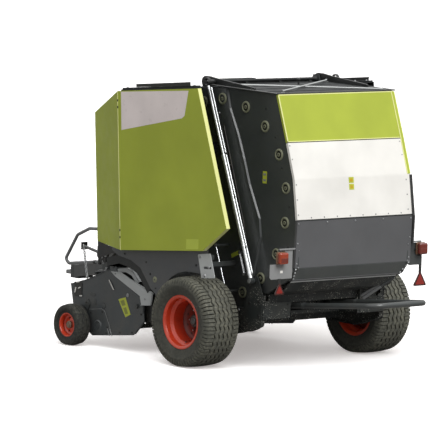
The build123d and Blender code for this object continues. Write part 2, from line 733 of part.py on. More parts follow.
def pickup_side():
    """Left side plate of the pickup with its bores."""
    low, high = pickup_side_y - 1, pickup_side_y + pickup_side_t + 1
    plate = side_sheet(pickup_outline, pickup_side_y, pickup_side_y + pickup_side_t)
    plate -= round_y(reel_x, reel_z, reel_shaft_r + running_gap, low, high)
    plate -= round_y(*guard_pivot, guard_tube_r + running_gap, low, high)
    return plate - round_y(pickup_pivot_x, pickup_pivot_z, pickup_pin_r + running_gap, low, high)


def pickup_bands():
    """Stripper bands round the reel, joined by a strip along their upper and their lower ends."""
    arc = Circle(band_r) - Circle(band_r - band_t)
    arc -= Polygon((0, 0), (-400, 300), (-400, -500), (-130, -500))
    plane = Plane(origin=(reel_x, 0, reel_z), x_dir=(1, 0, 0), z_dir=(0, -1, 0))
    pitch = 2 * pickup_side_y / band_count
    shapes = []
    for i in range(band_count):
        middle = -pickup_side_y + pitch * (i + 0.5)
        shapes.append(Pos(0, middle + band_width / 2, 0) * extrude(plane * arc, amount=band_width, dir=(0, -1, 0)))
        low, high = middle - band_width / 2, middle + band_width / 2
        shapes.append(bent_sheet([band_seat, (band_tail[0] + 6, band_tail[1] + 2)], band_t, low, high))
        shapes.append(block(band_heel_x, band_foot[0] + 4, low, high, band_foot[1] - 2, band_foot[1] + 3))
    inner = pickup_side_y - 0.3
    shapes.append(bent_sheet([(band_seat[0] - 23, band_seat[1] + 7), band_seat], band_t, -inner, inner))
    shapes.append(block(band_heel_x - 26, band_heel_x + 1, -inner, inner, band_foot[1] - 2, band_foot[1] + 3))
    return joined(shapes)


def pickup_tray():
    """Trough behind the reel that leads the crop to the rotor."""
    inner = pickup_side_y - 0.3
    neck = wall_inner_y - 12
    start = (band_heel_x - 30, band_foot[1] + 2)
    wide = bent_sheet([start, (1040, 262)], 5.0, -inner, inner)
    return wide + bent_sheet([(1041, 261.4), (875, 352)], 5.0, -neck, neck)


band_foot = (reel_x - band_r * 0.26, reel_z - band_r * 0.966)
band_tail = (reel_x - band_r * 0.8, reel_z + band_r * 0.6)
tine_reach = tine_tip_r + 12
band_seat = (reel_x - tine_reach * 0.822, reel_z + tine_reach * 0.569)
band_heel_x = reel_x - math.sqrt(tine_reach ** 2 - (reel_z - band_foot[1]) ** 2)


def pickup_reel():
    """Reel: a shaft, four tine bars on spiders and short spring tines between the bands."""
    end_y = pickup_side_y + 30
    shapes = [round_y(reel_x, reel_z, reel_shaft_r, -end_y, end_y)]
    pitch = 2 * pickup_side_y / band_count
    for i in range(0, band_count, 6):
        y = -pickup_side_y + pitch * (i + 0.5)
        shapes.append(round_y(reel_x, reel_z, tine_bar_r + 18, y - 4, y + 4))
    for quarter in range(4):
        turn = math.radians(45 + 90 * quarter)
        cx, sz = math.cos(turn), math.sin(turn)
        bar_x, bar_z = reel_x + tine_bar_r * cx, reel_z + tine_bar_r * sz
        shapes.append(round_y(bar_x, bar_z, 12, 30 - pickup_side_y, pickup_side_y - 30))
        for i in range(1, band_count):
            y = -pickup_side_y + pitch * i
            tip = (reel_x + tine_tip_r * cx, y, reel_z + tine_tip_r * sz)
            shapes.append(rod_between((bar_x, y, bar_z), tip, 4.0))
    return joined(shapes)


def wind_guard():
    """Crop guard over the reel: a hinge tube, three arms and a front bar with fingers."""
    end_y = pickup_side_y + pickup_side_t + 6
    shapes = [round_y(*guard_pivot, guard_tube_r, -end_y, end_y), round_y(*guard_front, 14.0, -guard_half_y, guard_half_y)]
    for y in (150 - guard_half_y, 0, guard_half_y - 150):
        shapes.append(side_sheet([shifted(guard_pivot, guard_front, 5), guard_front, (guard_front[0], guard_front[1] - 10),
                                  (guard_pivot[0] + 4, guard_pivot[1] - 14)], y - 20, y + 20))
    return joined(shapes)


def gauge_arm():
    """Left arm with the gauge wheel's spindle."""
    outside = pickup_side_y + pickup_side_t
    arm = side_sheet([(1480, 470), (1440, 420), (1527, gauge_z - 22), (1565, gauge_z - 42), (1601, gauge_z - 22), (1605, gauge_z + 22)], outside, outside + 12)
    return arm + round_y(gauge_x, gauge_z, gauge_spindle_r, outside + 12, gauge_y + 20)


def pickup_strap():
    """Light stay on the outside of the left pickup plate."""
    outside = pickup_side_y + pickup_side_t
    strap = side_sheet([(1140, 738), (728, 540), (694, 500), (694, 410), (800, 410), (806, 510), (1165, 690)],
                       outside, outside + 14)
    return strap - round_y(pickup_pivot_x, pickup_pivot_z, pickup_pin_r + running_gap, outside - 1, outside + 20)


def pickup_bracket():
    """Left carrier from the wall to the pickup's pivot pin."""
    inner_end = pickup_side_y - 14
    arm = block(pickup_pivot_x - 45, pickup_pivot_x + 45, wall_outer_y, inner_end, pickup_pivot_z - 40, pickup_pivot_z + 40)
    return arm + round_y(pickup_pivot_x, pickup_pivot_z, pickup_pin_r, inner_end, pickup_side_y + pickup_side_t + 22)


def feed_rotor():
    """Star rotor that feeds the crop into the chamber."""
    shapes = [round_y(rotor_x, rotor_z, rotor_shaft_r, -wall_outer_y - 12, wall_outer_y + 40)]
    shapes.append(round_y(rotor_x, rotor_z, 70, -wall_inner_y + 30, wall_inner_y - 30))
    star_reach = wall_inner_y - 90
    for i in range(11):
        y = star_reach * (i - 5) / 5
        turn = math.radians(15 * (i % 6))
        points = []
        for arm in range(4):
            for reach, spread in ((75, -0.5), (rotor_r, 0.0), (75, 0.5)):
                angle = turn + math.pi / 2 * arm + spread
                points.append((rotor_x + reach * math.cos(angle), rotor_z + reach * math.sin(angle)))
        shapes.append(side_sheet(points, y - 5, y + 5))
    return joined(shapes)


def feed_floor():
    """Curved floor under the rotor up to the chamber's lower rollers."""
    radius = rotor_r + 16
    line = [(rotor_x + radius * math.cos(math.radians(a)), rotor_z + radius * math.sin(math.radians(a)))
            for a in range(-50, -181, -13)]
    return bent_sheet(line, -5.0, -wall_inner_y + 0.3, wall_inner_y - 0.3)


# ---- front guard hoops ----------------------------------------------------------------------------
def guard_hoop():
    """Left bent-tube hoop beside the pickup, with its post and a chain arm."""
    y, root_x, post_x = hoop_y, 1104.0, 1396.0
    loop = [(root_x, beam_half_y + 10.3, 1120), (root_x, y, 1120), (1552, y, 1092), (1722, y, 1020), (1887, y, 787),
            (1842, y, 746), (post_x - 8, y, 806)]
    tube = bent_tube([Vector(*p) for p in loop], 34.0, 15.0, 3.0)
    post = rod_between((post_x, y, 785), (post_x, y, 1125), 17.0)
    arm = rod_between((1331, y, 866), (1511, y + 85, 941), 14.0)
    head = rod_between((1511, y + 45, 941), (1511, y + 125, 941), 14.0)
    return joined([tube, post, arm, head])


# ---- lamps --------------------------------------------------------------------------------------
bracket_x = -1000.0


def lamp_bracket():
    """Left lamp plate on two stays from the tailgate's side."""
    plate = block(bracket_x, bracket_x + 5, panel_half_y + 16, lamp_y + 124, 888, 1019)
    stay = block(bracket_x, bracket_x + 18, panel_half_y, lamp_y + 20, 1105, 1119)
    upright = block(bracket_x, bracket_x + 5, lamp_y - 24, lamp_y + 16, 1019, 1105)
    foot = block(bracket_x + 5, bracket_x + 20, panel_half_y, panel_half_y + 76, 930, 960)
    return joined([plate, stay, upright, foot])


def tail_lamp():
    """Left lamp: a round lens on its housing."""
    return rod_between((bracket_x - 0.3, lamp_y, lamp_z), (lamp_rear_x, lamp_y, lamp_z), lamp_r)


def reflector():
    """Left triangular reflector hanging below the lamp plate."""
    outline = [(lamp_y + 8 - 62, 752), (lamp_y + 8 + 62, 752), (lamp_y + 8, 865)]
    plane = Plane(origin=(bracket_x - 8, 0, 0), x_dir=(0, 1, 0), z_dir=(1, 0, 0))
    plate = extrude(plane * Polygon(*outline), amount=8)
    return plate + block(bracket_x - 8, bracket_x, lamp_y - 2, lamp_y + 18, 850, 889)


# ---- drive --------------------------------------------------------------------------------------
def sprockets():
    """Chain wheels on the left ends of the frame's rollers, and the drive wheel of the cross shaft."""
    shapes = []
    for angle, radius in ((110, 70), (130, 70), (150, 70), (170, 70), (190, 95), (-110, 95)):
        shapes.append(round_y(*roller_place(angle), radius, bearing_face_y + 0.3, bearing_face_y + 16))
    return shapes


# ---- nodes --------------------------------------------------------------------------------------
def main():
    """Make every node of the baler."""
    os.makedirs("parts", exist_ok=True)

    write_node("chassis_frame", chassis(), front_beam(), *beam_brackets())
    write_node("axle_beam", axle())
    write_node("axle_hangers", axle_hanger(), mirrored(axle_hanger()))
    write_node("drawbar", drawbar())
    write_node("jack_tube", jack_tube())
    write_node("jack_leg", jack_leg())
    write_node("gearbox", gearbox())
    for side, turned in (("left", lambda s: s), ("right", mirrored)):
        write_node(f"{side}_side_wall", turned(side_wall()))
        write_node(f"{side}_hood", turned(hood(right_hood_cut if side == "right" else 0.0)))
        write_node(f"{side}_gate_side", turned(gate_side()))
        write_node(f"{side}_gate_arm", turned(gate_arm()))
        write_node(f"{side}_cylinder_barrel", turned(barrel()))
        write_node(f"{side}_cylinder_rod", turned(rod()))
        tyre_shape, rim_shape = main_wheel()
        write_node(f"{side}_tyre", turned(tyre_shape))
        write_node(f"{side}_rim", turned(rim_shape))
        tyre_shape, rim_shape = gauge_wheel()
        write_node(f"{side}_gauge_tyre", turned(tyre_shape))
        write_node(f"{side}_gauge_rim", turned(rim_shape))
    write_node("hinge_tube", round_y(hinge_x, hinge_z, hinge_tube_r, -wall_outer_y - 40, wall_outer_y + 40))
    write_node("front_wall", front_wall())
    write_node("front_roof", front_roof())
    stays = [*roof_posts(), *net_box_lugs(), pickup_bracket()]
    write_node("wall_stays", *stays, *[mirrored(stay) for stay in stays])
    write_node("net_box", net_box())
    write_node("net_lid", net_lid())
    write_node("side_skirts", skirt(), mirrored(skirt()))
    write_node("frame_rollers", *[roller(angle) for angle in FRAME_ROLLERS])
    write_node("gate_rollers", *[roller(angle) for angle in GATE_ROLLERS])
    frame_bearings = [bearing(angle) for angle in FRAME_ROLLERS]
    write_node("frame_bearings", *frame_bearings, *[mirrored(each) for each in frame_bearings])
    gate_bearings = [bearing(angle) for angle in GATE_ROLLERS]
    write_node("gate_bearings", *gate_bearings, *[mirrored(each) for each in gate_bearings])
    write_node("roller_sprockets", *sprockets())
    write_node("gate_panel_upper", gate_panel([gate_top, shifted(gate_seam_upper, gate_top, seam_gap)]))
    write_node("gate_panel_middle", gate_panel([gate_seam_upper, gate_bend,
                                                shifted(gate_seam_lower, gate_bend, seam_gap)]))
    write_node("gate_panel_lower", gate_panel([shifted(gate_seam_lower, gate_foot, seam_gap), gate_foot]))
    write_node("gate_sill", bent_sheet([shifted(gate_foot, gate_lip, panel_t), gate_lip, gate_tail], -panel_t,
                                       -panel_half_y, panel_half_y))
    write_node("gate_roof", gate_roof())
    write_node("roof_braces", roof_braces())
    write_node("lamp_brackets", lamp_bracket(), mirrored(lamp_bracket()))
    write_node("tail_lamps", tail_lamp(), mirrored(tail_lamp()))
    write_node("reflectors", reflector(), mirrored(reflector()))
    write_node("pickup_sides", pickup_side(), mirrored(pickup_side()))
    write_node("pickup_bands", pickup_bands())
    write_node("pickup_tray", pickup_tray())
    write_node("pickup_straps", pickup_strap(), mirrored(pickup_strap()))
    write_node("gauge_arms", gauge_arm(), mirrored(gauge_arm()))
    write_node("pickup_reel", pickup_reel())
    write_node("wind_guard", wind_guard())
    write_node("feed_rotor", feed_rotor())
    write_node("feed_floor", feed_floor())
    write_node("guard_hoops", guard_hoop(), mirrored(guard_hoop()))
    write_node("bale_kicker", kicker())


main()
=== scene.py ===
"""Looks of a towed round baler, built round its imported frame.

Sizes are in millimetres on the maker's drawing: X forward, Y to the left and Z up, counted from a point
below the bale chamber's axis, 35 mm under the ground. Shape works in those millimetres, and Shape.place() turns
them into the frame's metres.
"""

from __future__ import annotations

import json
import logging
import math
from dataclasses import dataclass, field
from enum import Enum
from typing import Iterable, Sequence

import bmesh
import bpy
from mathutils import Matrix, Vector

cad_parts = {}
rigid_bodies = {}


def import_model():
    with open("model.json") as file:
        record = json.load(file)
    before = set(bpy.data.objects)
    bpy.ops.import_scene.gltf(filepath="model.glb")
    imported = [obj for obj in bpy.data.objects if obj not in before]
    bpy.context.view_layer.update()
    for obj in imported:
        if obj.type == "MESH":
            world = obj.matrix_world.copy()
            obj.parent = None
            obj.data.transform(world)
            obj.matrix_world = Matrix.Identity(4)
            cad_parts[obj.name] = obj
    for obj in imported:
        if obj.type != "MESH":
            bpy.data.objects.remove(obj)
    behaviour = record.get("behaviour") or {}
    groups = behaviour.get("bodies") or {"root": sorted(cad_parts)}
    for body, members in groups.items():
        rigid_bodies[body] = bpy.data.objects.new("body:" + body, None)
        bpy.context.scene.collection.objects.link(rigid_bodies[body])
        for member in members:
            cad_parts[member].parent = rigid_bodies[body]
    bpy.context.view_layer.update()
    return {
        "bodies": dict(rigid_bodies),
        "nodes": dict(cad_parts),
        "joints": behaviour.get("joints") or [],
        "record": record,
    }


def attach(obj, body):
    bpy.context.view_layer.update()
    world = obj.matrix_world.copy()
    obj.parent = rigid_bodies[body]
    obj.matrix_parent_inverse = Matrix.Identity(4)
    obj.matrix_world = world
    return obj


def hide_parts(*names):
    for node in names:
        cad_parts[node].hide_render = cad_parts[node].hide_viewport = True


LOG = logging.getLogger("baler")
Pair = tuple[float, float]
Triple = tuple[float, float, float]
Colour = tuple[float, float, float, float]
Socket = bpy.types.NodeSocket
Points = Sequence[Sequence[float]]

# Sizes that assemblies share: the tailgate's hinge and the chamber's axis in X and Z, the rollers' circle, the
# drive chain's pitch, and the angle in radians past which an edge counts as sharp.
HINGE: Pair = (260.0, 2512.0)
CHAMBER: Pair = (0.0, 1509.0)
ROLLER_CIRCLE = 870.0
CHAIN_PITCH = 25.4
SHARP_ANGLE = 0.45


# ---- finishes
def linear(hex_colour: str) -> Colour:
    """Turn an sRGB hex colour into linear RGBA.

    Args:
        hex_colour: The colour as "#rrggbb".

    Returns:
        Linear red, green, blue and an alpha of 1.
    """
    parts = [int(hex_colour[i:i + 2], 16) / 255 for i in (1, 3, 5)]
    red, green, blue = (c / 12.92 if c <= 0.04045 else ((c + 0.055) / 1.055) ** 2.4 for c in parts)
    return red, green, blue, 1.0


def shade(colour: Colour, share: float) -> Colour:
    """Return a darker shade of a colour."""
    return *(level * share for level in colour[:3]), 1.0


class Net:
    """A node tree."""

    def __init__(self, owner: bpy.types.Material | bpy.types.World) -> None:
        """Take over the node tree of a material or a world."""
        owner.use_nodes = True
        self.tree = owner.node_tree

    def add(self, kind: str, inputs: dict | None = None, **settings) -> bpy.types.Node:
        """Add one shader node with its settings, its values and its links.

        Args:
            kind: Blender's name of the node type, without the ShaderNode that it starts with.
            inputs: Input name or number to a value, or to the output socket that feeds it.
            settings: Properties of the node itself.

        Returns:
            The new node.
        """
        node = self.tree.nodes.new("ShaderNode" + kind)
        for name, value in settings.items():
            setattr(node, name, value)
        self.feed(node, inputs or {})
        return node

    def feed(self, node: bpy.types.Node, inputs: dict) -> None:
        """Give a node's inputs their values and links."""
        for socket, value in inputs.items():
            if isinstance(value, Socket):
                self.tree.links.new(value, node.inputs[socket])
            else:
                node.inputs[socket].default_value = value


class Surface(Net):
    """The node tree of a finish, and the patterns that finishes share."""

    def __init__(self, material: bpy.types.Material) -> None:
        """Start from a new material."""
        super().__init__(material)
        self.place = self.add("TexCoord").outputs["Object"]

    def patches(self, size_mm: float, detail: float, low: float, high: float, least: float = 0.0,
            most: float = 1.0) -> Socket:
        """Make patches about size_mm across, which fade from least to most.

        Args:
            size_mm: How far it is from patch to patch.
            detail: How ragged they are.
            low: Level of the noise that gives the least.
            high: Level of the noise that gives the most.
            least: What lies between the patches.
            most: What lies in them.

        Returns:
            The patches.
        """
        noise = self.add("TexNoise", {"Vector": self.place, "Scale": 1000 / size_mm, "Detail": detail})
        return self.add("MapRange", {"Value": noise.outputs["Fac"], "From Min": low, "From Max": high, "To Min": least,
            "To Max": most}).outputs["Result"]

    def lay(self, under: object, over: object, *shares: object) -> Socket:
        """Lay a colour over another as far as the shares let it, all multiplied."""
        cover = shares[0]
        for share in shares[1:]:
            cover = self.add("Math", {0: cover, 1: share}, operation="MULTIPLY").outputs[0]
        return self.add("Mix", {0: cover, 6: under, 7: over}, data_type="RGBA").outputs[2]


@dataclass(frozen=True)
class Finish:
    """A surface: its colour, its gloss and the fine relief that its making leaves."""

    name: str
    colour: str
    roughness: float = 0.5
    metallic: float = 0.0
    coat: float = 0.0
    gloss: float = 0.5
    relief_mm: float = 4.0
    relief: float = 0.05

    def build(self) -> bpy.types.Material:
        """Make the material, or return it if it is made already."""
        made = bpy.data.materials.get(self.name)
        if made is not None:
            return made
        material = bpy.data.materials.new(self.name)
        net = Surface(material)
        shader = net.tree.nodes["Principled BSDF"]
        net.feed(shader, {"Metallic": self.metallic, "Specular IOR Level": self.gloss, "Coat Weight": self.coat,
            "Coat Roughness": 0.12, "Base Color": self.colouring(net), "Roughness": self.dulling(net)})
        bump = net.add("Bump", {"Height": self.height(net), "Strength": self.relief, "Distance": 0.002})
        net.feed(shader, {"Normal": bump.outputs["Normal"]})
        return material

    def colouring(self, net: Surface) -> Socket:
        """Colour of the surface: a slow drift of a few percent."""
        plain = linear(self.colour)
        return net.lay(shade(plain, 0.86), plain, net.patches(420, 3.0, 0.3, 0.7))

    def dulling(self, net: Surface) -> Socket:
        """Roughness of the surface, a little uneven."""
        return net.patches(90, 5.0, 0.25, 0.75, self.roughness * 0.82, min(1.0, self.roughness * 1.18))

    def height(self, net: Surface) -> Socket:
        """Fine relief of the surface."""
        return net.add("TexNoise", {"Vector": net.place, "Scale": 1000 / self.relief_mm, "Detail": 2.0}).outputs["Fac"]


@dataclass(frozen=True)
class PowderCoat(Finish):
    """Powder-coated steel sheet: a faint orange peel, a clear top gloss, and field dust that settles low down.

    The peel is about 3 mm in the real coat and is drawn at 9 mm, so that it breaks up the gloss at all.
    """

    roughness: float = 0.36
    coat: float = 0.35
    relief_mm: float = 9.0
    relief: float = 0.04
    dust: float = 0.3
    dust_colour: str = "#6f675a"

    def colouring(self, net: Surface) -> Socket:
        """Paint colour, greyed by dust in patches that thin out upwards."""
        paint = super().colouring(net)
        height = net.add("SeparateXYZ", {0: net.place}).outputs["Z"]
        low = net.add("MapRange", {"Value": height, "From Min": 0.25, "From Max": 1.5, "To Min": 1.0, "To Max": 0.12})
        patches = net.patches(160, 6.0, 0.38, 0.72)
        specks = net.patches(14, 4.0, 0.45, 0.75, 0.35 * self.dust, self.dust)
        return net.lay(paint, linear(self.dust_colour), low.outputs["Result"], patches, specks)


@dataclass(frozen=True)
class ChaffedCoat(PowderCoat):
    """Black coat under the machine, with pale chaff and soil stuck to it in specks 5 to 12 mm across; on the chamber's
    rollers the black is painted shade in place of bare steel.
    """

    roughness: float = 0.55
    coat: float = 0.0
    chaff: str = "#c6c5ba"

    def colouring(self, net: Surface) -> Socket:
        """Dusty coat with specks."""
        coat = super().colouring(net)
        return net.lay(coat, linear(self.chaff), net.patches(10, 2.0, 0.62, 0.68), net.patches(150, 3.0, 0.4, 0.56))


@dataclass(frozen=True)
class BareSteel(Finish):
    """Steel that rolled crop has rubbed: bright streaks along its length with browned patches between."""

    metallic: float = 1.0
    roughness: float = 0.38
    relief_mm: float = 12.0
    relief: float = 0.12
    stain: str = "#4a4038"

    def colouring(self, net: Surface) -> Socket:
        """Steel colour with stains."""
        return net.lay(linear(self.colour), linear(self.stain), net.patches(120, 7.0, 0.5, 0.72, 0.0, 0.8))


@dataclass(frozen=True)
class Plating(Finish):
    """Plated steel: smooth metal with a slight cloudiness from handling."""

    metallic: float = 1.0
    roughness: float = 0.24
    relief_mm: float = 30.0
    relief: float = 0.02


@dataclass(frozen=True)
class TreadRubber(Finish):
    """Tyre rubber: matt black carbon rubber, greyed and browned by soil that stays in its tread.

    Attributes:
        hub: Where the axle passes, along and up, in metres; the soil grows outwards from it.
        flank: Radius of the bare side wall, and of the full soil, in metres.
    """

    roughness: float = 0.82
    relief_mm: float = 7.0
    relief: float = 0.25
    soil: str = "#6a6454"
    hub: Pair = (-0.742, 0.4)
    flank: Pair = (0.3, 0.375)

    def colouring(self, net: Surface) -> Socket:
        """Rubber with soil in fine and in broad patches."""
        fine, broad = net.patches(22, 6.0, 0.36, 0.74), net.patches(190, 4.0, 0.3, 0.75, 0.25, 1.0)
        off = net.place
        for kind, by in (("SUBTRACT", (self.hub[0], 0.0, self.hub[1])), ("MULTIPLY", (1.0, 0.0, 1.0))):
            off = net.add("VectorMath", {0: off, 1: by}, operation=kind).outputs[0]
        radius = net.add("VectorMath", {0: off}, operation="LENGTH").outputs["Value"]
        outward = net.add("MapRange", {"Value": radius, "From Min": self.flank[0], "From Max": self.flank[1],
            "To Min": 0.3, "To Max": 1.0}).outputs["Result"]
        rubber = linear(self.colour)
        bare = net.lay(shade(rubber, 0.45), rubber, outward)
        return net.lay(bare, linear(self.soil), fine, broad, 0.55, outward)


@dataclass(frozen=True)
class MouldedLens(Finish):
    """Moulded acrylic lens: deep colour under a hard gloss, with fine vertical flutes."""

    roughness: float = 0.16
    coat: float = 1.0
    relief: float = 0.5
    flute_mm: float = 7.0

    def height(self, net: Surface) -> Socket:
        """Flutes across the lens, one every flute_mm."""
        return net.add("TexWave", {"Vector": net.place, "Scale": 1000 / self.flute_mm / 20},
            bands_direction="Y").outputs["Fac"]


class Coat(Enum):
    """Every finish on the machine."""

    LIME = PowderCoat("lime_powder_coat", "#b1be42", roughness=0.45, coat=0.12, gloss=0.3, dust=0.03)
    # Pale lime that stands for light caught on edges and folds: a painted highlight.
    LIME_EDGE = PowderCoat("lime_edge_powder_coat", "#eef0a0", dust=0.02)
    LIME_FILM = PowderCoat("lime_vinyl_film", "#c6d455", roughness=0.35, gloss=0.3, coat=0.12, dust=0.0)
    WHITE = PowderCoat("white_powder_coat", "#f6f4ee", roughness=0.45, coat=0.12, gloss=0.3, dust=0.02)
    # Silver film drawn near white: partly its pale silver, partly a painted reflection that keeps it bright on the
    # shaded side.
    SILVER_FILM = PowderCoat("silver_vinyl_film", "#fdf2ef", roughness=0.3, coat=0.6, dust=0.0)
    GREY = PowderCoat("grey_powder_coat", "#5a5b5d", roughness=0.45, dust=0.15)
    CHARCOAL = PowderCoat("charcoal_powder_coat", "#3f4343", roughness=0.42, dust=0.3)
    BLACK = PowderCoat("black_powder_coat", "#1b1d1d", roughness=0.4, dust=0.35)
    LIGHT_GREY = PowderCoat("light_grey_powder_coat", "#8f9090", roughness=0.42, dust=0.2)
    RIM = PowderCoat("orange_red_rim_enamel", "#dc4526", roughness=0.3, coat=0.5, dust=0.16)
    # Disc enamel darker than the barrel, with a thick dark brown dust: painted shade deep inside the dished rim.
    RIM_DISC = PowderCoat("dirtied_rim_enamel", "#74271a", roughness=0.5, coat=0.1, dust=0.6, dust_colour="#33241d")
    LABEL = PowderCoat("yellow_blank_label_film", "#c6cf45", roughness=0.4, dust=0.2)
    CHROME = Plating("hard_chrome_plate", "#e9ebee", roughness=0.1)
    ZINC = Plating("bright_zinc_plating", "#b9bbbc", roughness=0.34)
    ROLLER = BareSteel("crop_rubbed_steel", "#5d5c58", metallic=0.7, roughness=0.5)
    CAST = Finish("machined_cast_iron", "#5c5f57", roughness=0.6, metallic=0.3, relief_mm=5.0, relief=0.3)
    TYRE = TreadRubber("soiled_tread_rubber", "#4a4b44", soil="#a3a08c")
    GAUGE_TYRE = TreadRubber("soiled_gauge_rubber", "#2e2f2c", soil="#77756a", hub=(0.925, 0.19), flank=(0.13, 0.18))
    ROOF = PowderCoat("matt_black_roof_coat", "#232627", roughness=0.62, coat=0.0, dust=0.5)
    SKIRT = PowderCoat("skirt_grey_powder_coat", "#4b4e50", roughness=0.42, dust=0.3)
    PANEL = PowderCoat("panel_slate_powder_coat", "#454a4c", roughness=0.45, dust=0.35)
    BAND = BareSteel("dulled_band_steel", "#6d6c68", metallic=0.6, roughness=0.5)
    CASTING = PowderCoat("painted_iron_casting", "#55595a", roughness=0.55, coat=0.1, relief_mm=6.0, relief=0.25)
    CHAIN = BareSteel("oiled_chain_steel", "#4c4a46", metallic=0.8, roughness=0.35)
    HOOP = PowderCoat("hoop_grey_powder_coat", "#787a7b", roughness=0.32, dust=0.15)
    # Black with chaff specks; on the chamber's rollers it serves as painted shade.
    CHAFFED = ChaffedCoat("chaffed_black_coat", "#212625")
    RING = Finish("bearing_ring_cast_iron", "#84866f", roughness=0.55, metallic=0.15, relief_mm=5.0, relief=0.3)
    HOSE = TreadRubber("hose_rubber", "#161716", roughness=0.5, relief=0.08)
    LENS = MouldedLens("orange_red_moulded_lens", "#9c3613")
    LENS_DARK = MouldedLens("deep_red_moulded_lens", "#6f2415")
    RIM_RED = MouldedLens("dull_red_moulded_rim", "#43160f", flute_mm=12.0)
    SILL = PowderCoat("sill_dark_powder_coat", "#545958", roughness=0.5, dust=0.35)
    SILVER = Plating("bright_cylinder_plate", "#eceff0", metallic=0.75, roughness=0.3)
    REFLECTOR = MouldedLens("red_moulded_reflector", "#931f13", flute_mm=12.0)
    STRAP = PowderCoat("pale_strap_coat", "#c3c7c7", roughness=0.42, dust=0.2)
    OLIVE = PowderCoat("olive_label_print", "#8d9440", roughness=0.4, dust=0.2)
    HUB = BareSteel("browned_hub_steel", "#9a8673", metallic=0.4, roughness=0.55)
    STAY = PowderCoat("bright_stay_paint", "#c9cccb", roughness=0.35, dust=0.05)
    WORN_AMBER = Finish("weathered_lamp_base", "#7a5a44", roughness=0.5, relief=0.1)
    DARK_PLASTIC = Finish("moulded_black_polypropylene", "#202221", roughness=0.55, relief=0.15)
    WORN_YELLOW = Finish("yellow_shaft_guard_polyethylene", "#c9a81f", roughness=0.5, relief=0.1)


# ---- drawing helpers
class Side(Enum):
    """The machine's sides, as the sign of Y."""

    LEFT = 1
    RIGHT = -1

    @property
    def word(self) -> str:
        """The side's name in node names."""
        return self.name.lower()


class Lie(Enum):
    """How a flat outline lies: the axes of its two numbers, then the axis of its thickness."""

    XZ = (0, 2, 1)
    YZ = (1, 2, 0)

    def point(self, first: float, second: float, depth: float) -> Vector:
        """Place an outline's point at a depth."""
        spot = [0.0, 0.0, 0.0]
        for axis, value in zip(self.value, (first, second, depth)):
            spot[axis] = value
        return Vector(spot)


def set_off(line: Sequence[Pair], distance: float) -> list[Pair]:
    """Move an (x, z) line square to itself.

    Args:
        line: The line's points.
        distance: How far; positive is to the right of the line's direction.

    Returns:
        The moved points.
    """
    normals = []
    for (x0, z0), (x1, z1) in zip(line, line[1:]):
        run = math.hypot(x1 - x0, z1 - z0)
        normals.append(((z1 - z0) / run, -(x1 - x0) / run))
    moved = []
    for i, (x, z) in enumerate(line):
        near, far = normals[max(i - 1, 0)], normals[min(i, len(normals) - 1)]
        share = 1 + near[0] * far[0] + near[1] * far[1]
        moved.append((x + distance * (near[0] + far[0]) / share, z + distance * (near[1] + far[1]) / share))
    return moved


def polar(centre: Pair, radius: float, turn: float) -> Pair:
    """Return the point at a turn, in radians, round a centre."""
    return centre[0] + radius * math.cos(turn), centre[1] + radius * math.sin(turn)


def circle(centre: Pair, radius: float, count: int, start: float = 0.0) -> list[Pair]:
    """Return points spread evenly round a centre, from a share of a step on."""
    return [polar(centre, radius, math.tau * (i + start) / count) for i in range(count)]


def roller_at(angle: float) -> Pair:
    """Return the centre of the chamber's roller at an angle in degrees, from the rear over the top."""
    return polar(CHAMBER, ROLLER_CIRCLE, math.pi - math.radians(angle))


def ribbon(line: list[Pair], width: float) -> list[Pair]:
    """Return the outline of a ribbon to the right of a line's direction."""
    return [*line, *set_off(line, width)[::-1]]


def part_way(start: Sequence[float], end: Sequence[float], share: float) -> tuple[float, ...]:
    """Return the point a share of the way from one point to another."""
    return tuple(a + (b - a) * share for a, b in zip(start, end))


def bends(points: Points, radius: float, steps: int = 5, closed: bool = False) -> list[Vector]:
    """Round the corners of a line of points.

    Args:
        points: Two- or three-number points.
        radius: Bend radius, cut down where a run is too short for it.
        steps: Straight pieces in each bend.
        closed: Whether the last point joins the first.

    Returns:
        The rounded line, three numbers a point.
    """
    spots = [Vector((*p, 0.0)) if len(p) == 2 else Vector(p) for p in points]
    count, line = len(spots), []
    for i, spot in enumerate(spots):
        if radius <= 0 or (not closed and i in (0, count - 1)):
            line.append(spot)
            continue
        back, on = spots[i - 1] - spot, spots[(i + 1) % count] - spot
        turn = math.pi - back.angle(on)
        if turn < 0.03:
            line.append(spot)
            continue
        reach = min(radius * math.tan(turn / 2), back.length * 0.45, on.length * 0.45)
        start, end = spot + back.normalized() * reach, spot + on.normalized() * reach
        for step in range(steps + 1):
            t = step / steps
            line.append(start * (1 - t) ** 2 + spot * 2 * t * (1 - t) + end * t * t)
    return line


def flat(points: Iterable[Vector]) -> list[Pair]:
    """Return the first two numbers of each point."""
    return [(p.x, p.y) for p in points]


def to_scene(name: str, part: bmesh.types.BMesh, materials: Iterable[bpy.types.Material]) -> bpy.types.Object:
    """Make a bmesh an object of the scene and free it.

    Args:
        name: The object's name.
        part: Its mesh under construction.
        materials: Its materials, in their order.

    Returns:
        The object.
    """
    mesh = bpy.data.meshes.new(name)
    part.to_mesh(mesh)
    part.free()
    for material in materials:
        mesh.materials.append(material)
    piece = bpy.data.objects.new(name, mesh)
    bpy.context.scene.collection.objects.link(piece)
    return piece


def stand(spot: Sequence[float], axis: Sequence[float]) -> Matrix:
    """Return the matrix that stands the Z axis at a spot along another axis."""
    return Matrix.Translation(spot) @ Vector(axis).to_track_quat("Z", "Y").to_matrix().to_4x4()


@dataclass
class Workshop:
    """Where the pieces are put: the drawing's zero in the frame, and a log of what was made."""

    chamber_x: float
    ground_z: float
    count: int = 0

    def to_frame(self) -> Matrix:
        """Return the matrix from drawing millimetres to the frame's metres."""
        return Matrix.Translation((self.chamber_x, 0, -self.ground_z)) @ Matrix.Scale(0.001, 4)


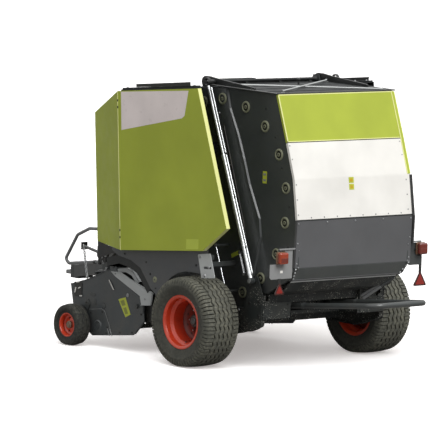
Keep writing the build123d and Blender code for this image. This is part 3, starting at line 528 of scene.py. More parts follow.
class Shape:
    """A mesh under construction, in drawing millimetres, with the finish of whatever is added without its own."""

    def __init__(self, finish: Coat = Coat.CHARCOAL) -> None:
        """Start with nothing."""
        self.bm = bmesh.new()
        self.finish = finish
        self.finishes: list[Coat] = []

    def _join(self, part: bmesh.types.BMesh) -> None:
        """Add a part's mesh to the whole and free it."""
        carrier = bpy.data.meshes.new("carrier")
        part.to_mesh(carrier)
        part.free()
        self.bm.from_mesh(carrier)
        bpy.data.meshes.remove(carrier)

    def _take(self, part: bmesh.types.BMesh, finish: Coat | None, turn: Matrix | None = None, edge: float = 0.0,
            segments: int = 2) -> None:
        """Add a finished part to the whole.

        Args:
            part: The part.
            finish: Its finish, if not the shape's own.
            turn: Where it goes.
            edge: Rounding of its sharp edges.
            segments: Steps of the rounding.
        """
        if edge > 0:
            sharp = [e for e in part.edges if len(e.link_faces) == 2 and e.calc_face_angle(0.0) > SHARP_ANGLE]
            bmesh.ops.bevel(part, geom=sharp, offset=edge, segments=segments, profile=0.5, affect="EDGES", material=-1,
                clamp_overlap=True)
        finish = finish or self.finish
        if finish not in self.finishes:
            self.finishes.append(finish)
        for face in part.faces:
            face.material_index = self.finishes.index(finish)
        if turn is not None:
            bmesh.ops.transform(part, matrix=turn, verts=part.verts)
        self._join(part)

    def _push(self, part: bmesh.types.BMesh, faces: Sequence[bmesh.types.BMFace], by: Sequence[float],
            finish: Coat | None, edge: float) -> None:
        """Thicken flat faces by a push and add the plate that they make."""
        grown = bmesh.ops.extrude_face_region(part, geom=faces)["geom"]
        bmesh.ops.translate(part, vec=by, verts=[v for v in grown if isinstance(v, bmesh.types.BMVert)])
        bmesh.ops.recalc_face_normals(part, faces=part.faces)
        self._take(part, finish, edge=edge)

    def slab(self, outline: Sequence[Pair], low: float, high: float, edge: float = 1.5, finish: Coat | None = None,
            lie: Lie = Lie.XZ, holes: Sequence[Sequence[Pair]] = ()) -> None:
        """Add a flat piece cut to an outline.

        Args:
            outline: Its corners.
            low: Where its thickness starts.
            high: Where its thickness ends.
            edge: Rounding of its edges.
            finish: Its finish.
            lie: How the outline lies.
            holes: Outlines cut out of it.
        """
        part = bmesh.new()
        rings = []
        for ring in (outline, *holes):
            verts = [part.verts.new(lie.point(u, v, low)) for u, v in ring]
            rings.append([part.edges.new((verts[i - 1], verts[i])) for i in range(len(verts))])
        if holes:
            faces = bmesh.ops.triangle_fill(part, use_beauty=True, use_dissolve=True, edges=[e for ring in rings
                for e in ring])["geom"]
            faces = [f for f in faces if isinstance(f, bmesh.types.BMFace)]
        else:
            faces = bmesh.ops.contextual_create(part, geom=rings[0])["faces"]
        self._push(part, faces, lie.point(0, 0, high - low), finish, edge)

    def block(self, corner: Triple, far: Triple, edge: float = 1.5, finish: Coat | None = None,
            turn: Matrix | None = None, segments: int = 2) -> None:
        """Add a box between any two opposite corners, turned about its middle if asked."""
        part = bmesh.new()
        bmesh.ops.create_cube(part, size=1.0)
        bmesh.ops.scale(part, vec=[abs(b - a) for a, b in zip(corner, far)], verts=part.verts)
        middle = Matrix.Translation([(a + b) / 2 for a, b in zip(corner, far)])
        self._take(part, finish, middle @ turn if turn else middle, edge, segments)

    def bent(self, line: Sequence[Pair], thickness: float, low: float, high: float, edge: float = 1.2,
            radius: float = 12.0, finish: Coat | None = None) -> None:
        """Add a sheet bent along an (x, z) line; a positive thickness lies to the right of its direction."""
        rounded = flat(bends(line, radius))
        self.slab(ribbon(rounded, thickness), low, high, edge, finish)

    def turned(self, profile: Sequence[Pair], centre: Triple, steps: int = 48, finish: Coat | None = None,
            axis: Triple = (0, 1, 0), closed: bool = True) -> None:
        """Add a turned piece.

        Args:
            profile: Its (radius, along the axis) points.
            centre: Where the axis starts.
            steps: Sides round the axis.
            finish: Its finish.
            axis: Direction of the axis.
            closed: Whether the profile's end joins its start.
        """
        part = bmesh.new()
        verts = [part.verts.new((radius, 0, along)) for radius, along in profile]
        edges = [part.edges.new(pair) for pair in zip(verts, verts[1:])]
        if closed and min(r for r, _ in profile) > 0.01:
            edges.append(part.edges.new((verts[-1], verts[0])))
        bmesh.ops.spin(part, geom=verts + edges, cent=(0, 0, 0), axis=(0, 0, 1), angle=math.tau, steps=steps,
            use_merge=True)
        bmesh.ops.remove_doubles(part, verts=part.verts, dist=0.02)
        bmesh.ops.recalc_face_normals(part, faces=part.faces)
        self._take(part, finish, stand(centre, axis))

    def pin(self, start: Sequence[float], end: Sequence[float], radius: float, edge: float = 1.5, steps: int = 24,
            finish: Coat | None = None, bore: float = 0.0) -> None:
        """Add a round bar with softened ends, or a ring when it has a bore."""
        run = Vector(end) - Vector(start)
        length, soft = run.length, min(edge, radius * 0.4)
        ends = [(radius - soft, 0), (radius - soft * 0.3, soft * 0.3), (radius, soft)]
        profile = [(bore, 0), *ends, *((r, length - along) for r, along in ends[::-1]), (bore, length)]
        self.turned(profile, tuple(start), steps, finish, tuple(run.normalized()), closed=bore > 0)

    def pipe(self, points: Points, radius: float, bend: float = 60.0, sides: int = 16, finish: Coat | None = None,
            steps: int = 8) -> None:
        """Add a round tube along straight runs joined by bends.

        Args:
            points: The corners of its line.
            radius: Its outside radius.
            bend: The bends' radius.
            sides: Sides round the tube.
            finish: Its finish.
            steps: Pieces in each bend.
        """
        line = bends(points, bend, steps)
        part = bmesh.new()
        bmesh.ops.create_circle(part, cap_ends=True, radius=radius, segments=sides)
        heading = (line[1] - line[0]).normalized()
        frame = heading.to_track_quat("Z", "Y")
        spot = Matrix.Translation(line[0]) @ frame.to_matrix().to_4x4()
        bmesh.ops.transform(part, matrix=spot, verts=part.verts)
        faces = part.faces[:]
        for i in range(1, len(line)):
            ahead = (line[min(i + 1, len(line) - 1)] - line[i - 1]).normalized()
            if i == len(line) - 1:
                ahead = (line[i] - line[i - 1]).normalized()
            frame = heading.rotation_difference(ahead) @ frame
            heading = ahead
            grown = bmesh.ops.extrude_face_region(part, geom=faces)["geom"]
            faces = [f for f in grown if isinstance(f, bmesh.types.BMFace)]
            verts = [v for v in grown if isinstance(v, bmesh.types.BMVert)]
            move = Matrix.Translation(line[i]) @ frame.to_matrix().to_4x4()
            bmesh.ops.transform(part, matrix=move @ spot.inverted(), verts=verts)
            spot = move
        bmesh.ops.recalc_face_normals(part, faces=part.faces)
        self._take(part, finish)

    def bolts(self, spots: Iterable[Triple], size: float, finish: Coat = Coat.ZINC, facing: Triple = (0, 1, 0)) -> None:
        """Add hexagon bolt heads on washers; size is the head's radius."""
        for spot in spots:
            part = bmesh.new()
            for sides, low, high, depth, middle in ((12, 1.45, 1.35, 0.25, 0.125), (6, 1.0, 0.9, 0.7, 0.6)):
                bmesh.ops.create_cone(part, cap_ends=True, segments=sides, radius1=size * low, radius2=size * high,
                    depth=size * depth, matrix=Matrix.Translation((0, 0, size * middle)))
            self._take(part, finish, stand(spot, facing))

    def plate(self, corners: Points, push: Triple, edge: float = 1.0, finish: Coat | None = None) -> None:
        """Add a flat plate with any corners in space, thickened by a push."""
        part = bmesh.new()
        face = part.faces.new([part.verts.new(corner) for corner in corners])
        self._push(part, [face], push, finish, edge)

    def strip(self, first: Points, second: Points, thickness: float, edge: float = 0.8,
            finish: Coat | None = None) -> None:
        """Add a sheet that runs between two lines of as many points, thickened to one side."""
        part = bmesh.new()
        chains = []
        for line in (first, second):
            verts = [part.verts.new(p) for p in line]
            chains += [part.edges.new(pair) for pair in zip(verts, verts[1:])]
        bmesh.ops.bridge_loops(part, edges=chains)
        bmesh.ops.recalc_face_normals(part, faces=part.faces)
        bmesh.ops.solidify(part, geom=part.faces[:], thickness=thickness)
        bmesh.ops.recalc_face_normals(part, faces=part.faces)
        self._take(part, finish, edge=edge, segments=1)

    def turn_to(self, side: Side) -> Shape:
        """Move the shape, drawn on the left, to a side of the machine."""
        return self.flip() if side is Side.RIGHT else self

    def flip(self) -> Shape:
        """Turn the shape into its twin on the machine's other side."""
        bmesh.ops.scale(self.bm, vec=(1, -1, 1), verts=self.bm.verts)
        bmesh.ops.reverse_faces(self.bm, faces=self.bm.faces)
        return self

    def both(self) -> Shape:
        """Add the shape's own twin on the machine's other side."""
        own = self.bm.copy()
        self.flip()._join(own)
        return self

    def place(self, shop: Workshop, name: str, body: str, slot: str, replaces: Sequence[str] = (),
            smooth: float = 0.6) -> None:
        """Make the shape an object of the frame.

        Args:
            shop: The workshop, for the drawing's zero.
            name: The piece's name.
            body: The body that it rides on.
            slot: The record's material slot; not used.
            replaces: The frame's nodes that it stands for.
            smooth: Faces that meet at less than this angle are shaded as one surface.
        """
        bmesh.ops.transform(self.bm, matrix=shop.to_frame(), verts=self.bm.verts)
        for edge in self.bm.edges:
            edge.smooth = edge.calc_face_angle(3.2) < smooth
        for face in self.bm.faces:
            face.smooth = True
        piece = to_scene(name, self.bm, [finish.value.build() for finish in self.finishes])
        shading = piece.modifiers.new("even_shading", "WEIGHTED_NORMAL")
        shading.keep_sharp = True
        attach(piece, body)
        if replaces:
            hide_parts(*replaces)
        shop.count += 1
        LOG.info("%s on %s, %d faces", name, body, len(piece.data.polygons))


# ---- wheels
@dataclass
class Tread:
    """One pitch of a tyre's tread, repeated round the tyre; its stations are shares of the pitch."""

    radius: float
    half_width: float
    bead_r: float
    ribs: int
    depth: float
    pitches: int
    swing: float
    groove: float
    half_crown: float
    lug: float = 0.0
    crown_drop: float = 8.0
    stations: tuple[float, ...] = (0.0, 0.07, 0.25, 0.43, 0.5, 0.57, 0.75, 0.93, 1.0)

    def crown(self, y: float) -> float:
        """Radius of the tread's top at a place across it."""
        return self.radius - self.crown_drop * (y / self.half_crown) ** 2

    def profile(self) -> list[Pair]:
        """Return the outside section from one bead to the other, then the casing's inside."""
        half, bead = self.half_width, self.bead_r
        edge = self.crown(self.half_crown)
        flank = [(bead + 1, half * 0.72), (bead + 9, half * 0.8), (bead + 24, half * 0.85), (bead + 27, half * 0.865),
            (bead + 30, half * 0.86), (bead * 0.62 + edge * 0.38, half * 0.95), (bead * 0.42 + edge * 0.58,
            half * 0.995), (bead * 0.38 + edge * 0.62, half), (bead * 0.34 + edge * 0.66, half * 0.99),
            (bead * 0.16 + edge * 0.84, half * 0.965), (edge - 14, half * 0.925), (edge - 3, half * 0.88)]
        flank = [(r, y) for r, y in flank if r < edge - 2]
        pitch = 2 * self.half_crown / self.ribs
        top: list[Pair] = []
        for i in range(self.ribs):
            left = -self.half_crown + i * pitch + (self.groove / 2 if i else 0)
            right = -self.half_crown + (i + 1) * pitch - (self.groove / 2 if i < self.ribs - 1 else 0)
            top += [(self.crown(left), left), (self.crown((left + right) / 2), (left + right) / 2),
                (self.crown(right), right)]
            if i < self.ribs - 1:
                low, high = right + self.groove * 0.2, right + self.groove * 0.8
                top += [(self.crown(low) - self.depth, low), (self.crown(high) - self.depth, high)]
        outside = [(r, -y) for r, y in flank] + top + flank[::-1]
        casing = [(bead + 1, half * 0.64), (bead + 40, half * 0.78), (edge - 40, half * 0.86), (edge - 22, half * 0.6),
            (edge - 22, -half * 0.6), (edge - 40, -half * 0.86), (bead + 40, -half * 0.78), (bead + 1, -half * 0.64)]
        return outside + casing

    def build(self, shape: Shape, centre: Triple, finish: Coat) -> None:
        """Add the whole tyre to a shape.

        Args:
            shape: The shape that gets it.
            centre: The wheel's centre.
            finish: The rubber.
        """
        part = bmesh.new()
        section = self.profile()
        verts = [part.verts.new((r, y, 0)) for r, y in section]
        edges = [part.edges.new((verts[i - 1], verts[i])) for i in range(len(verts))]
        steps, arc = self.stations, math.tau / self.pitches
        bmesh.ops.spin(part, geom=verts + edges, cent=(0, 0, 0), axis=(0, 1, 0), angle=arc, steps=len(steps) - 1)
        even, shoulder = arc / (len(steps) - 1), self.bead_r * 0.3 + self.radius * 0.7
        for vert in part.verts:
            x, y, z = vert.co
            radius = math.hypot(x, z)
            sense = -1 if z > 1e-06 else 1
            share = steps[min(len(steps) - 1, round(abs(math.atan2(z, x)) / even))]
            if radius > shoulder and abs(y) > self.half_crown * 0.86 and self.lug:
                if share * 2 % 1.0 < 0.01:
                    fade = min(1.0, (radius - shoulder) / 18)
                    radius -= self.lug * fade
                    y -= math.copysign(self.lug * 0.45 * fade, y)
            elif abs(y) < self.half_crown * 0.9 and radius > self.radius * 0.9:
                y += self.swing * (4 * abs(share - 0.5) - 1)
            angle = sense * share * arc
            vert.co = (radius * math.cos(angle), y, -radius * math.sin(angle))
        bmesh.ops.spin(part, geom=part.verts[:] + part.edges[:] + part.faces[:], cent=(0, 0, 0), axis=(0, 1, 0),
            angle=arc * (self.pitches - 1), steps=self.pitches - 1, use_duplicate=True)
        bmesh.ops.remove_doubles(part, verts=part.verts, dist=0.05)
        bmesh.ops.recalc_face_normals(part, faces=part.faces)
        shape._take(part, finish, Matrix.Translation(centre))


@dataclass
class Wheel:
    """A tyre on its rim, drawn on the left."""

    side: Side
    centre: Triple
    tread: Tread
    kind: str = ""
    rubber: Coat = Coat.TYRE

    def rim(self) -> Shape:
        """Draw the rim."""
        raise NotImplementedError

    def build(self, shop: Workshop) -> None:
        """Make the wheel's two pieces."""
        casing, word = Shape(), f"{self.side.word}_{self.kind}"
        self.tread.build(casing, self.centre, self.rubber)
        for shape, name, slot in ((casing, "tyre", "tyre_rubber"), (self.rim(), "rim", "rim_paint")):
            shape.turn_to(self.side).place(shop, f"{word}{name}_detailed", f"{word}wheel", slot, [f"{word}{name}"])


@dataclass
class MainWheel(Wheel):
    """Flotation tyre with zigzag ribs on a deep-dished rim."""

    centre: Triple = (-102.0, 1029.0, 435.0)
    tread: Tread = field(default_factory=lambda: Tread(400, 195, 216, 6, 15, 34, 8.0, 17, 146, 24.0))

    def rim(self) -> Shape:
        """Rim barrel, dished disc darkened as painted shade, hub with its nuts and cap, and the valve."""
        shape = Shape(Coat.RIM)
        rolled = [(208, 150), (216, 150), (217, 158), (226, 160), (234, 163), (238, 160), (240, 164), (236, 168),
            (226, 168), (212, 160)]
        barrel = [(216, 146), (214, 110), (206, 104), (190, 88), (188, 60), (188, -60), (190, -88), (206, -104),
            (214, -110), (216, -146)]
        inner = [(r - 7, y) for r, y in barrel[::-1]]
        shape.turned(barrel + inner, self.centre, 72)
        shape.turned(rolled, self.centre, 72)
        shape.turned([(r, -y) for r, y in rolled], self.centre, 72)
        # The dark disc and the nuts' washers are painted shade in the deep dish; the wide black hub adds to it.
        dish = [(186, -8), (180, -22), (168, -34), (150, -41), (128, -44), (112, -40), (86, -38), (78, -38)]
        shape.turned(dish + [(r, y - 8) for r, y in dish[::-1]], self.centre, 72, Coat.RIM_DISC)
        x, y, z = self.centre
        for along, up in circle((x, z), 152, 10, 0.5):
            shape.turned([(0, 0), (11, 0), (11, 2), (0, 2)], (along, y - 42, up), 16, Coat.BLACK)
        shape.turned([(0, -95), (70, -95), (80, -88), (82, -40), (82, -30), (74, -26), (62, -22), (58, 2), (52, 12),
            (40, 15), (0, 15)], self.centre, 40, Coat.BLACK, closed=False)
        shape.turned([(0, 14), (34, 14), (34, 22), (28, 27), (0, 28)], self.centre, 32, Coat.CHARCOAL, closed=False)
        nuts = [(along, y - 38, up) for along, up in circle((x, z), 102, 6)]
        for spot in nuts:
            shape.pin(spot, (spot[0], spot[1] + 16, spot[2]), 7, steps=12, finish=Coat.ZINC)
        shape.bolts(nuts, 14, Coat.RIM_DISC)
        shape.pin((x, y + 70, z - 186), (x, y + 106, z - 176), 5, steps=12, finish=Coat.BLACK)
        return shape


@dataclass
class GaugeWheel(Wheel):
    """Small ribbed tyre of the pickup on a pressed rim with a browned steel hub."""

    kind: str = "gauge_"
    rubber: Coat = Coat.GAUGE_TYRE
    centre: Triple = (1565.0, 1066.0, 225.0)
    tread: Tread = field(default_factory=lambda: Tread(190, 75, 100, 4, 5, 24, 0.0, 7, 46, 0.0, 7.0))

    def rim(self) -> Shape:
        """Rim halves, disc, hub cap and bolts."""
        shape = Shape(Coat.RIM)
        barrel = [(100, 54), (116, 55), (117, 58), (113, 60), (98, 58), (94, 50), (90, 30), (90, -30), (94, -50),
            (98, -58), (113, -60), (117, -58), (116, -55), (100, -54)]
        shape.turned(barrel + [(r - 4, y) for r, y in ((98, -40), (94, -28), (94, 28), (98, 40))], self.centre)
        dish = [(90, 16), (82, 9), (70, 7), (48, 14), (34, 16), (28, 16)]
        shape.turned(dish + [(r, y - 5) for r, y in dish[::-1]], self.centre)
        shape.turned([(0, -42), (34, -42), (34, 36), (30, 40), (24, 42), (22, 48), (0, 50)], self.centre, 32, Coat.HUB,
            closed=False)
        x, y, z = self.centre
        # Bolts in the darkened disc enamel, which is painted shade.
        shape.bolts([(along, y + 10, up) for along, up in circle((x, z), 60, 5)], 8, Coat.RIM_DISC)
        return shape


# ---- side hoods
@dataclass
class SideHood:
    """Gull-wing hood: a flat side, a leaning front chamfer, returned edges, film and inner frame."""

    side: Side
    outer_y: float = 1170.0
    front_y: float = 950.0
    sheet: float = 3.5
    flange: float = 44.0
    rear_top: Pair = (-215.0, 2494.0)
    fold_top: Pair = (877.0, 2395.0)
    front_top: Pair = (1456.0, 2157.0)
    front_foot: Pair = (1367.0, 1000.0)
    fold_foot: Pair = (779.0, 984.0)
    rear_foot: Pair = (-346.0, 1085.0)
    rear_corner: Pair = (-651.0, 1307.0)
    right_cut: float = 300.0

    def __post_init__(self) -> None:
        """Cut the right hood's rear end short."""
        if self.side is Side.RIGHT:
            cut = self.right_cut
            self.rear_top = (self.rear_top[0] + cut, self.rear_top[1] - 0.09066 * cut)
            self.rear_foot = (self.rear_foot[0] + cut, self.rear_foot[1] - 0.08978 * cut)
            self.rear_corner = (self.rear_corner[0] + cut, self.rear_corner[1])

    def skin(self, point: Pair, depth: float = 0.0) -> Triple:
        """Return where an (x, z) point lies on the hood's outside, pushed in by a depth."""
        lean = (self.fold_top[0] - self.fold_foot[0]) / (self.fold_top[1] - self.fold_foot[1])
        past = point[0] - (self.fold_top[0] - lean * (self.fold_top[1] - point[1]))
        slope = (self.outer_y - self.front_y) / 595.5
        return point[0], self.outer_y - depth - max(0.0, past) * slope, point[1]

    def shell(self, shape: Shape) -> None:
        """Add the two outside sheets and the bead along their fold, pale lime as a painted highlight between black
        rings.
        """
        side_face = [self.rear_top, self.fold_top, self.fold_foot, self.rear_foot, self.rear_corner]
        front_face = [self.fold_top, self.front_top, self.front_foot, self.fold_foot]
        shape.plate([self.skin(p) for p in side_face], (0, -self.sheet, 0), 0.9)
        shape.plate([self.skin(p) for p in front_face], (-1.2, -self.sheet, 0), 0.9)
        top, foot = self.skin(self.fold_top, 1.5), self.skin(self.fold_foot, 1.5)
        cuts = [0.0, 0.052, 0.066, 0.094, 0.108, 0.868, 0.882, 0.912, 0.926, 1.0]
        for i, (low, high) in enumerate(zip(cuts, cuts[1:])):
            radius, finish = (6.0, Coat.BLACK) if i % 2 else (4.5, Coat.LIME_EDGE)
            shape.pin(part_way(top, foot, low), part_way(top, foot, high), radius, steps=12, finish=finish)

    def returns(self, shape: Shape) -> None:
        """Add the edges folded inwards: rear and front ones pale lime as a painted highlight, lime ones above and
        below.
        """
        runs = [(self.rear_corner, self.rear_top, Coat.LIME_EDGE), (self.rear_top, self.fold_top, Coat.LIME),
            (self.fold_top, self.front_top, Coat.LIME), (self.front_top, self.front_foot, Coat.LIME_EDGE),
            (self.front_foot, self.fold_foot, Coat.LIME_EDGE), (self.fold_foot, self.rear_foot, Coat.LIME_EDGE),
            (self.rear_foot, self.rear_corner, Coat.LIME_EDGE)]
        for start, end, finish in runs:
            run = Vector((end[0] - start[0], 0, end[1] - start[1])).normalized()
            inward = Vector((run.z, 0, -run.x)) * self.sheet
            corners = [self.skin(start, 0.4), self.skin(end, 0.4), self.skin(end, self.flange),
                self.skin(start, self.flange)]
            shape.plate(corners, tuple(inward), 0.9, finish)
            lip = [self.skin(p, self.flange) for p in (start, end)]
            away = Vector((run.z, 0, -run.x)) * 18
            shape.plate([*lip, tuple(Vector(lip[1]) + away - Vector(run) * 16),
                tuple(Vector(lip[0]) + away + Vector(run) * 16)], (0, 2.5, 0), 0.6)

    def film(self, shape: Shape) -> None:
        """Add the left side's blank silver film, near white with a painted reflection, and a small blank label."""
        patch = [(828, 2392), (-95, 2466), (-50, 2242), (-14, 2218), (807, 2053)]
        square = [(-122, 1168), (-287, 1182), (-287, 1094), (-122, 1079)]
        if self.side is Side.LEFT:
            shape.plate([self.skin(p, -0.7) for p in patch], (0, -0.6, 0), 0, Coat.SILVER_FILM)
            shape.plate([self.skin(p, -0.6) for p in square], (0, -0.5, 0), 0, Coat.LIME_FILM)

    def frame(self, shape: Shape) -> None:
        """Add the square-tube frame inside and the hinge straps."""
        depth = 22.0
        ribs = [((-60, 2460), (-130, 1120)), ((400, 2420), (340, 1040)), ((820, 2385), (735, 1010))]
        if self.side is Side.RIGHT:
            ribs[0] = ((170, 2440), (90, 1100))
        for top, foot in ribs:
            low, high = self.skin(foot, depth), self.skin(top, depth)
            shape.plate([(high[0] - 15, high[1], high[2]), (high[0] + 15, high[1], high[2]),
                (low[0] + 15, low[1], low[2]), (low[0] - 15, low[1], low[2])], (0, 18, 0), 2)
        for height in (0.33, 0.68):
            rear = part_way(ribs[0][1], ribs[0][0], height)
            fore = part_way(ribs[2][1], ribs[2][0], height)
            a, b = self.skin(rear, depth + 1), self.skin(fore, depth + 1)
            shape.plate([(a[0], a[1], a[2] - 14), (b[0], b[1], b[2] - 14), (b[0], b[1], b[2] + 14),
                (a[0], a[1], a[2] + 14)], (0, 17, 0), 2)
        for x in (140.0, 660.0):
            pin_z = 2494 - 0.09066 * (x + 215) - 16
            shape.block((x - 30, 1104, pin_z - 5), (x + 30, 1160, pin_z + 13), 2)
            shape.pin((x - 30, 1104, pin_z + 2.7), (x + 30, 1104, pin_z - 2.7), 16, bore=8.3)

    def seal(self) -> Shape:
        """Black strip along the roof's edge inside the hood: painted shade for the shaded inside of the hood's top
        edge.
        """
        shape = Shape(Coat.BLACK)
        shape.plate([(748, 1064, 2436), (12, 1064, 2501), (12, 1064, 2533), (748, 1064, 2464)], (0, -8, 0))
        return shape

    def build(self, shop: Workshop) -> None:
        """Make the hood's pieces."""
        word = self.side.word
        skin, frame = Shape(Coat.LIME), Shape()
        self.shell(skin)
        self.returns(skin)
        self.film(skin)
        self.frame(frame)
        door = f"{word}_hood_door"
        skin.turn_to(self.side).place(shop, f"{word}_hood_skin", door, "lime_paint", [f"{word}_hood"])
        frame.turn_to(self.side).place(shop, f"{word}_hood_frame", door, "dark_paint")
        # The black strip inside each hood is painted shade.
        self.seal().turn_to(self.side).place(shop, f"{word}_roof_seal", "frame", "dark_paint")


# ---- tailgate
@dataclass
class Tailgate:
    """Side plates with their raised step, and the four panels across the back."""

    top: Pair = (-722.0, 2466.0)
    seam_upper: Pair = (-869.0, 2058.0)
    bend: Pair = (-972.0, 1747.0)
    seam_lower: Pair = (-1025.0, 1392.0)
    foot: Pair = (-1012.0, 976.0)
    lip: Pair = (-930.0, 862.0)
    tail: Pair = (-894.0, 843.0)
    half_y: float = 684.0
    panel_t: float = 5.0
    face_y: float = 674.0
    parting: tuple[Pair, Pair] = ((155.3, 2476.0), (-454.7, 735.6))
    step: tuple[Pair, ...] = ((-48, 2468), (-96, 2298), (-218, 2066), (-300, 1870), (-383, 1648), (-527, 1365),
        (-548, 1202), (-508, 1022), (-474, 902), (-462, 770))

    def back(self) -> list[Pair]:
        """Outside line of the back, from the roof to the lip."""
        return [self.top, self.seam_upper, self.bend, self.seam_lower, self.foot, self.lip, self.tail]

    def on_back(self, y: float, z: float, proud: float = 0.0) -> Triple:
        """Point on the back panels at a height, standing proud of them."""
        line = self.back()
        for (x0, z0), (x1, z1) in zip(line, line[1:]):
            if z0 >= z >= z1:
                return x0 + (x1 - x0) * (z0 - z) / (z0 - z1) - proud, y, z
        return line[-1][0] - proud, y, z

    def sides(self) -> Shape:
        """Side plates: base plate, parting rim, back rim, raised step and bolts."""
        shape = Shape()
        back = set_off(self.back(), -self.panel_t - 0.3)
        outline = [self.parting[0], (back[0][0] + 3, 2467.5), *back[1:], (-640, 716), (-472, 702), self.parting[1]]
        shape.slab(outline, 640, self.face_y)
        shape.bent(self.parting, 8, 648, 709, 1.5, finish=Coat.BLACK)
        shape.bent(back, -8, 648, 680, radius=20)
        inner = set_off(self.parting, 6)
        raised = [inner[0], *self.step, (-462, 745), inner[1]]
        raised[0] = (raised[0][0], 2468)
        shape.slab(raised, 685, 690, 0.8)
        line = bends(self.step, 60)
        low = set_off(flat(line), 9)
        shape.strip([(p.x, 689.0, p.y) for p in line], [(x, self.face_y - 0.5, z) for x, z in low], 3, 0)
        for z in (2250, 1800, 1250, 950):
            x = self.parting[0][0] + (self.parting[1][0] - self.parting[0][0]) * (2476 - z) / (2476 - 735.6) - 34
            shape.bolts([(x, 690, z)], 8)
        shape.bolts([(x, self.face_y, z) for x, z in ((-560, 2330), (-700, 2090), (-790, 1830), (-905, 1500),
            (-905, 1150))], 6, Coat.BLACK)
        return shape

    def label(self) -> Shape:
        """Blank yellow label on the left side plate."""
        shape = Shape(Coat.LABEL)
        y = self.face_y
        shape.plate([(-545, y, 1784), (-597, y, 1784), (-597, y, 1678), (-545, y, 1678)], (0, 1.2, 0), 0)
        for z in (1757, 1706):
            shape.plate([(-553, y + 1, z + 9), (-589, y + 1, z + 9), (-589, y + 1, z - 9), (-553, y + 1, z - 9)],
                (0, 0.8, 0), 0, Coat.LIGHT_GREY)
        return shape

    def pan(self, line: Sequence[Pair], finish: Coat, radius: float = 12.0) -> Shape:
        """One panel: the sheet across the gate with a return down each side and along its ends."""
        shape, half, thick = Shape(), self.half_y, self.panel_t
        shape.bent(line, -thick, -half, half, 1.6, radius, finish)
        for low, high in ((half - 5, half), (-half, 5 - half)):
            shape.bent(line, -24, low, high, radius=radius, finish=finish)
        return shape

    def upper(self) -> Shape:
        """Lime panel with a pale painted highlight along its edges."""
        last = part_way(self.seam_upper, self.top, 0.006)
        line = [self.top, last]
        shape = self.pan(line, Coat.LIME)
        proud = set_off(line, 0.8)
        shape.bent(proud, -3, 672, 684.8, 0.6, finish=Coat.LIME_EDGE)
        foot = [part_way(proud[1], proud[0], 0.022), proud[1]]
        shape.bent(foot, -3, -646, 684.8, 0.6, finish=Coat.LIME_EDGE)
        shape.bent([proud[0], part_way(proud[0], proud[1], 0.022)], -3, -684, 684.8, 0.6, finish=Coat.LIME_EDGE)
        return shape

    def right_rail(self) -> Shape:
        """Raised rail up the right edge: lime with a pale painted highlight above the bend, and black below it."""
        shape = Shape(Coat.BLACK)
        lime = set_off([part_way(self.top, self.seam_upper, 0.01), self.seam_upper, part_way(self.bend, self.seam_upper,
            0.01)], 5)
        shape.bent(lime, -9, -692, -650, 1.4, 20, Coat.LIME_EDGE)
        shape.bent(set_off(lime, 0.8), -3, -684, -659, 0.4, 20, Coat.LIME)
        black = set_off([part_way(self.bend, self.seam_lower, 0.01), self.seam_lower, part_way(self.seam_lower,
            self.foot, 0.02)], 6)
        shape.bent(black, -11, -706, -676, 1.5, 4)
        low = set_off([part_way(self.seam_lower, self.foot, 0.02), part_way(self.seam_lower, self.foot, 0.62)], 6)
        shape.bent(low, -11, -712, -686, 1.5)
        return shape

    def middle(self) -> Shape:
        """White panel with a rounded bend, its bolts, and a blank label."""
        first, last = part_way(self.seam_upper, self.bend, 0.008), part_way(self.seam_lower, self.bend, 0.008)
        shape = self.pan([first, self.bend, last], Coat.WHITE, 160)
        spots = [self.on_back(y, z, -0.5) for y in (667, -634) for z in (2030, 1915, 1700, 1570, 1440)]
        spots += [self.on_back(-90 + 152 * i, 1412, -0.5) for i in range(-3, 5)]
        shape.bolts(spots, 5.0, facing=(-1, 0, 0.05))
        for high, low in ((1745, 1694), (1686, 1635)):
            corners = [self.on_back(y, z, 1.5 if z > 1700 else 0.6) for y, z in ((52, high), (-6, high), (-6, low),
                (52, low))]
            shape.plate(corners, (-0.8, 0, 0), 0, Coat.LABEL)
            inner = [self.on_back(y, z, 2.4 if z > 1700 else 1.4) for y, z in ((38, high - 12), (8, high - 12),
                (8, low + 12), (38, low + 12))]
            shape.plate(inner, (-0.6, 0, 0), 0, Coat.WORN_YELLOW)
        return shape

    def seams(self) -> Shape:
        """Black rubber between the panels."""
        shape = Shape(Coat.BLACK)
        for near, seam, far, width, proud in ((self.top, self.seam_upper, self.bend, 0.01, 0.9),
                (self.bend, self.seam_lower, self.foot, 0.016, 1.2)):
            line = set_off([part_way(seam, near, width), seam, part_way(seam, far, width)], proud)
            shape.bent(line, -7, -684, 684, 0.5, 0)
        return shape

    def lower(self) -> Shape:
        """Grey panel and its bolts."""
        first = part_way(self.seam_lower, self.foot, 0.01)
        shape = self.pan([first, self.foot], Coat.GREY)
        spots = [self.on_back(s * 664, z, 0) for s in (1, -1) for z in (1362, 1190, 1012)]
        spots += [self.on_back(y, 1366, 0) for y in (-330, 0, 330)]
        shape.bolts(spots, 6.0, facing=(-1, 0, 0))
        return shape

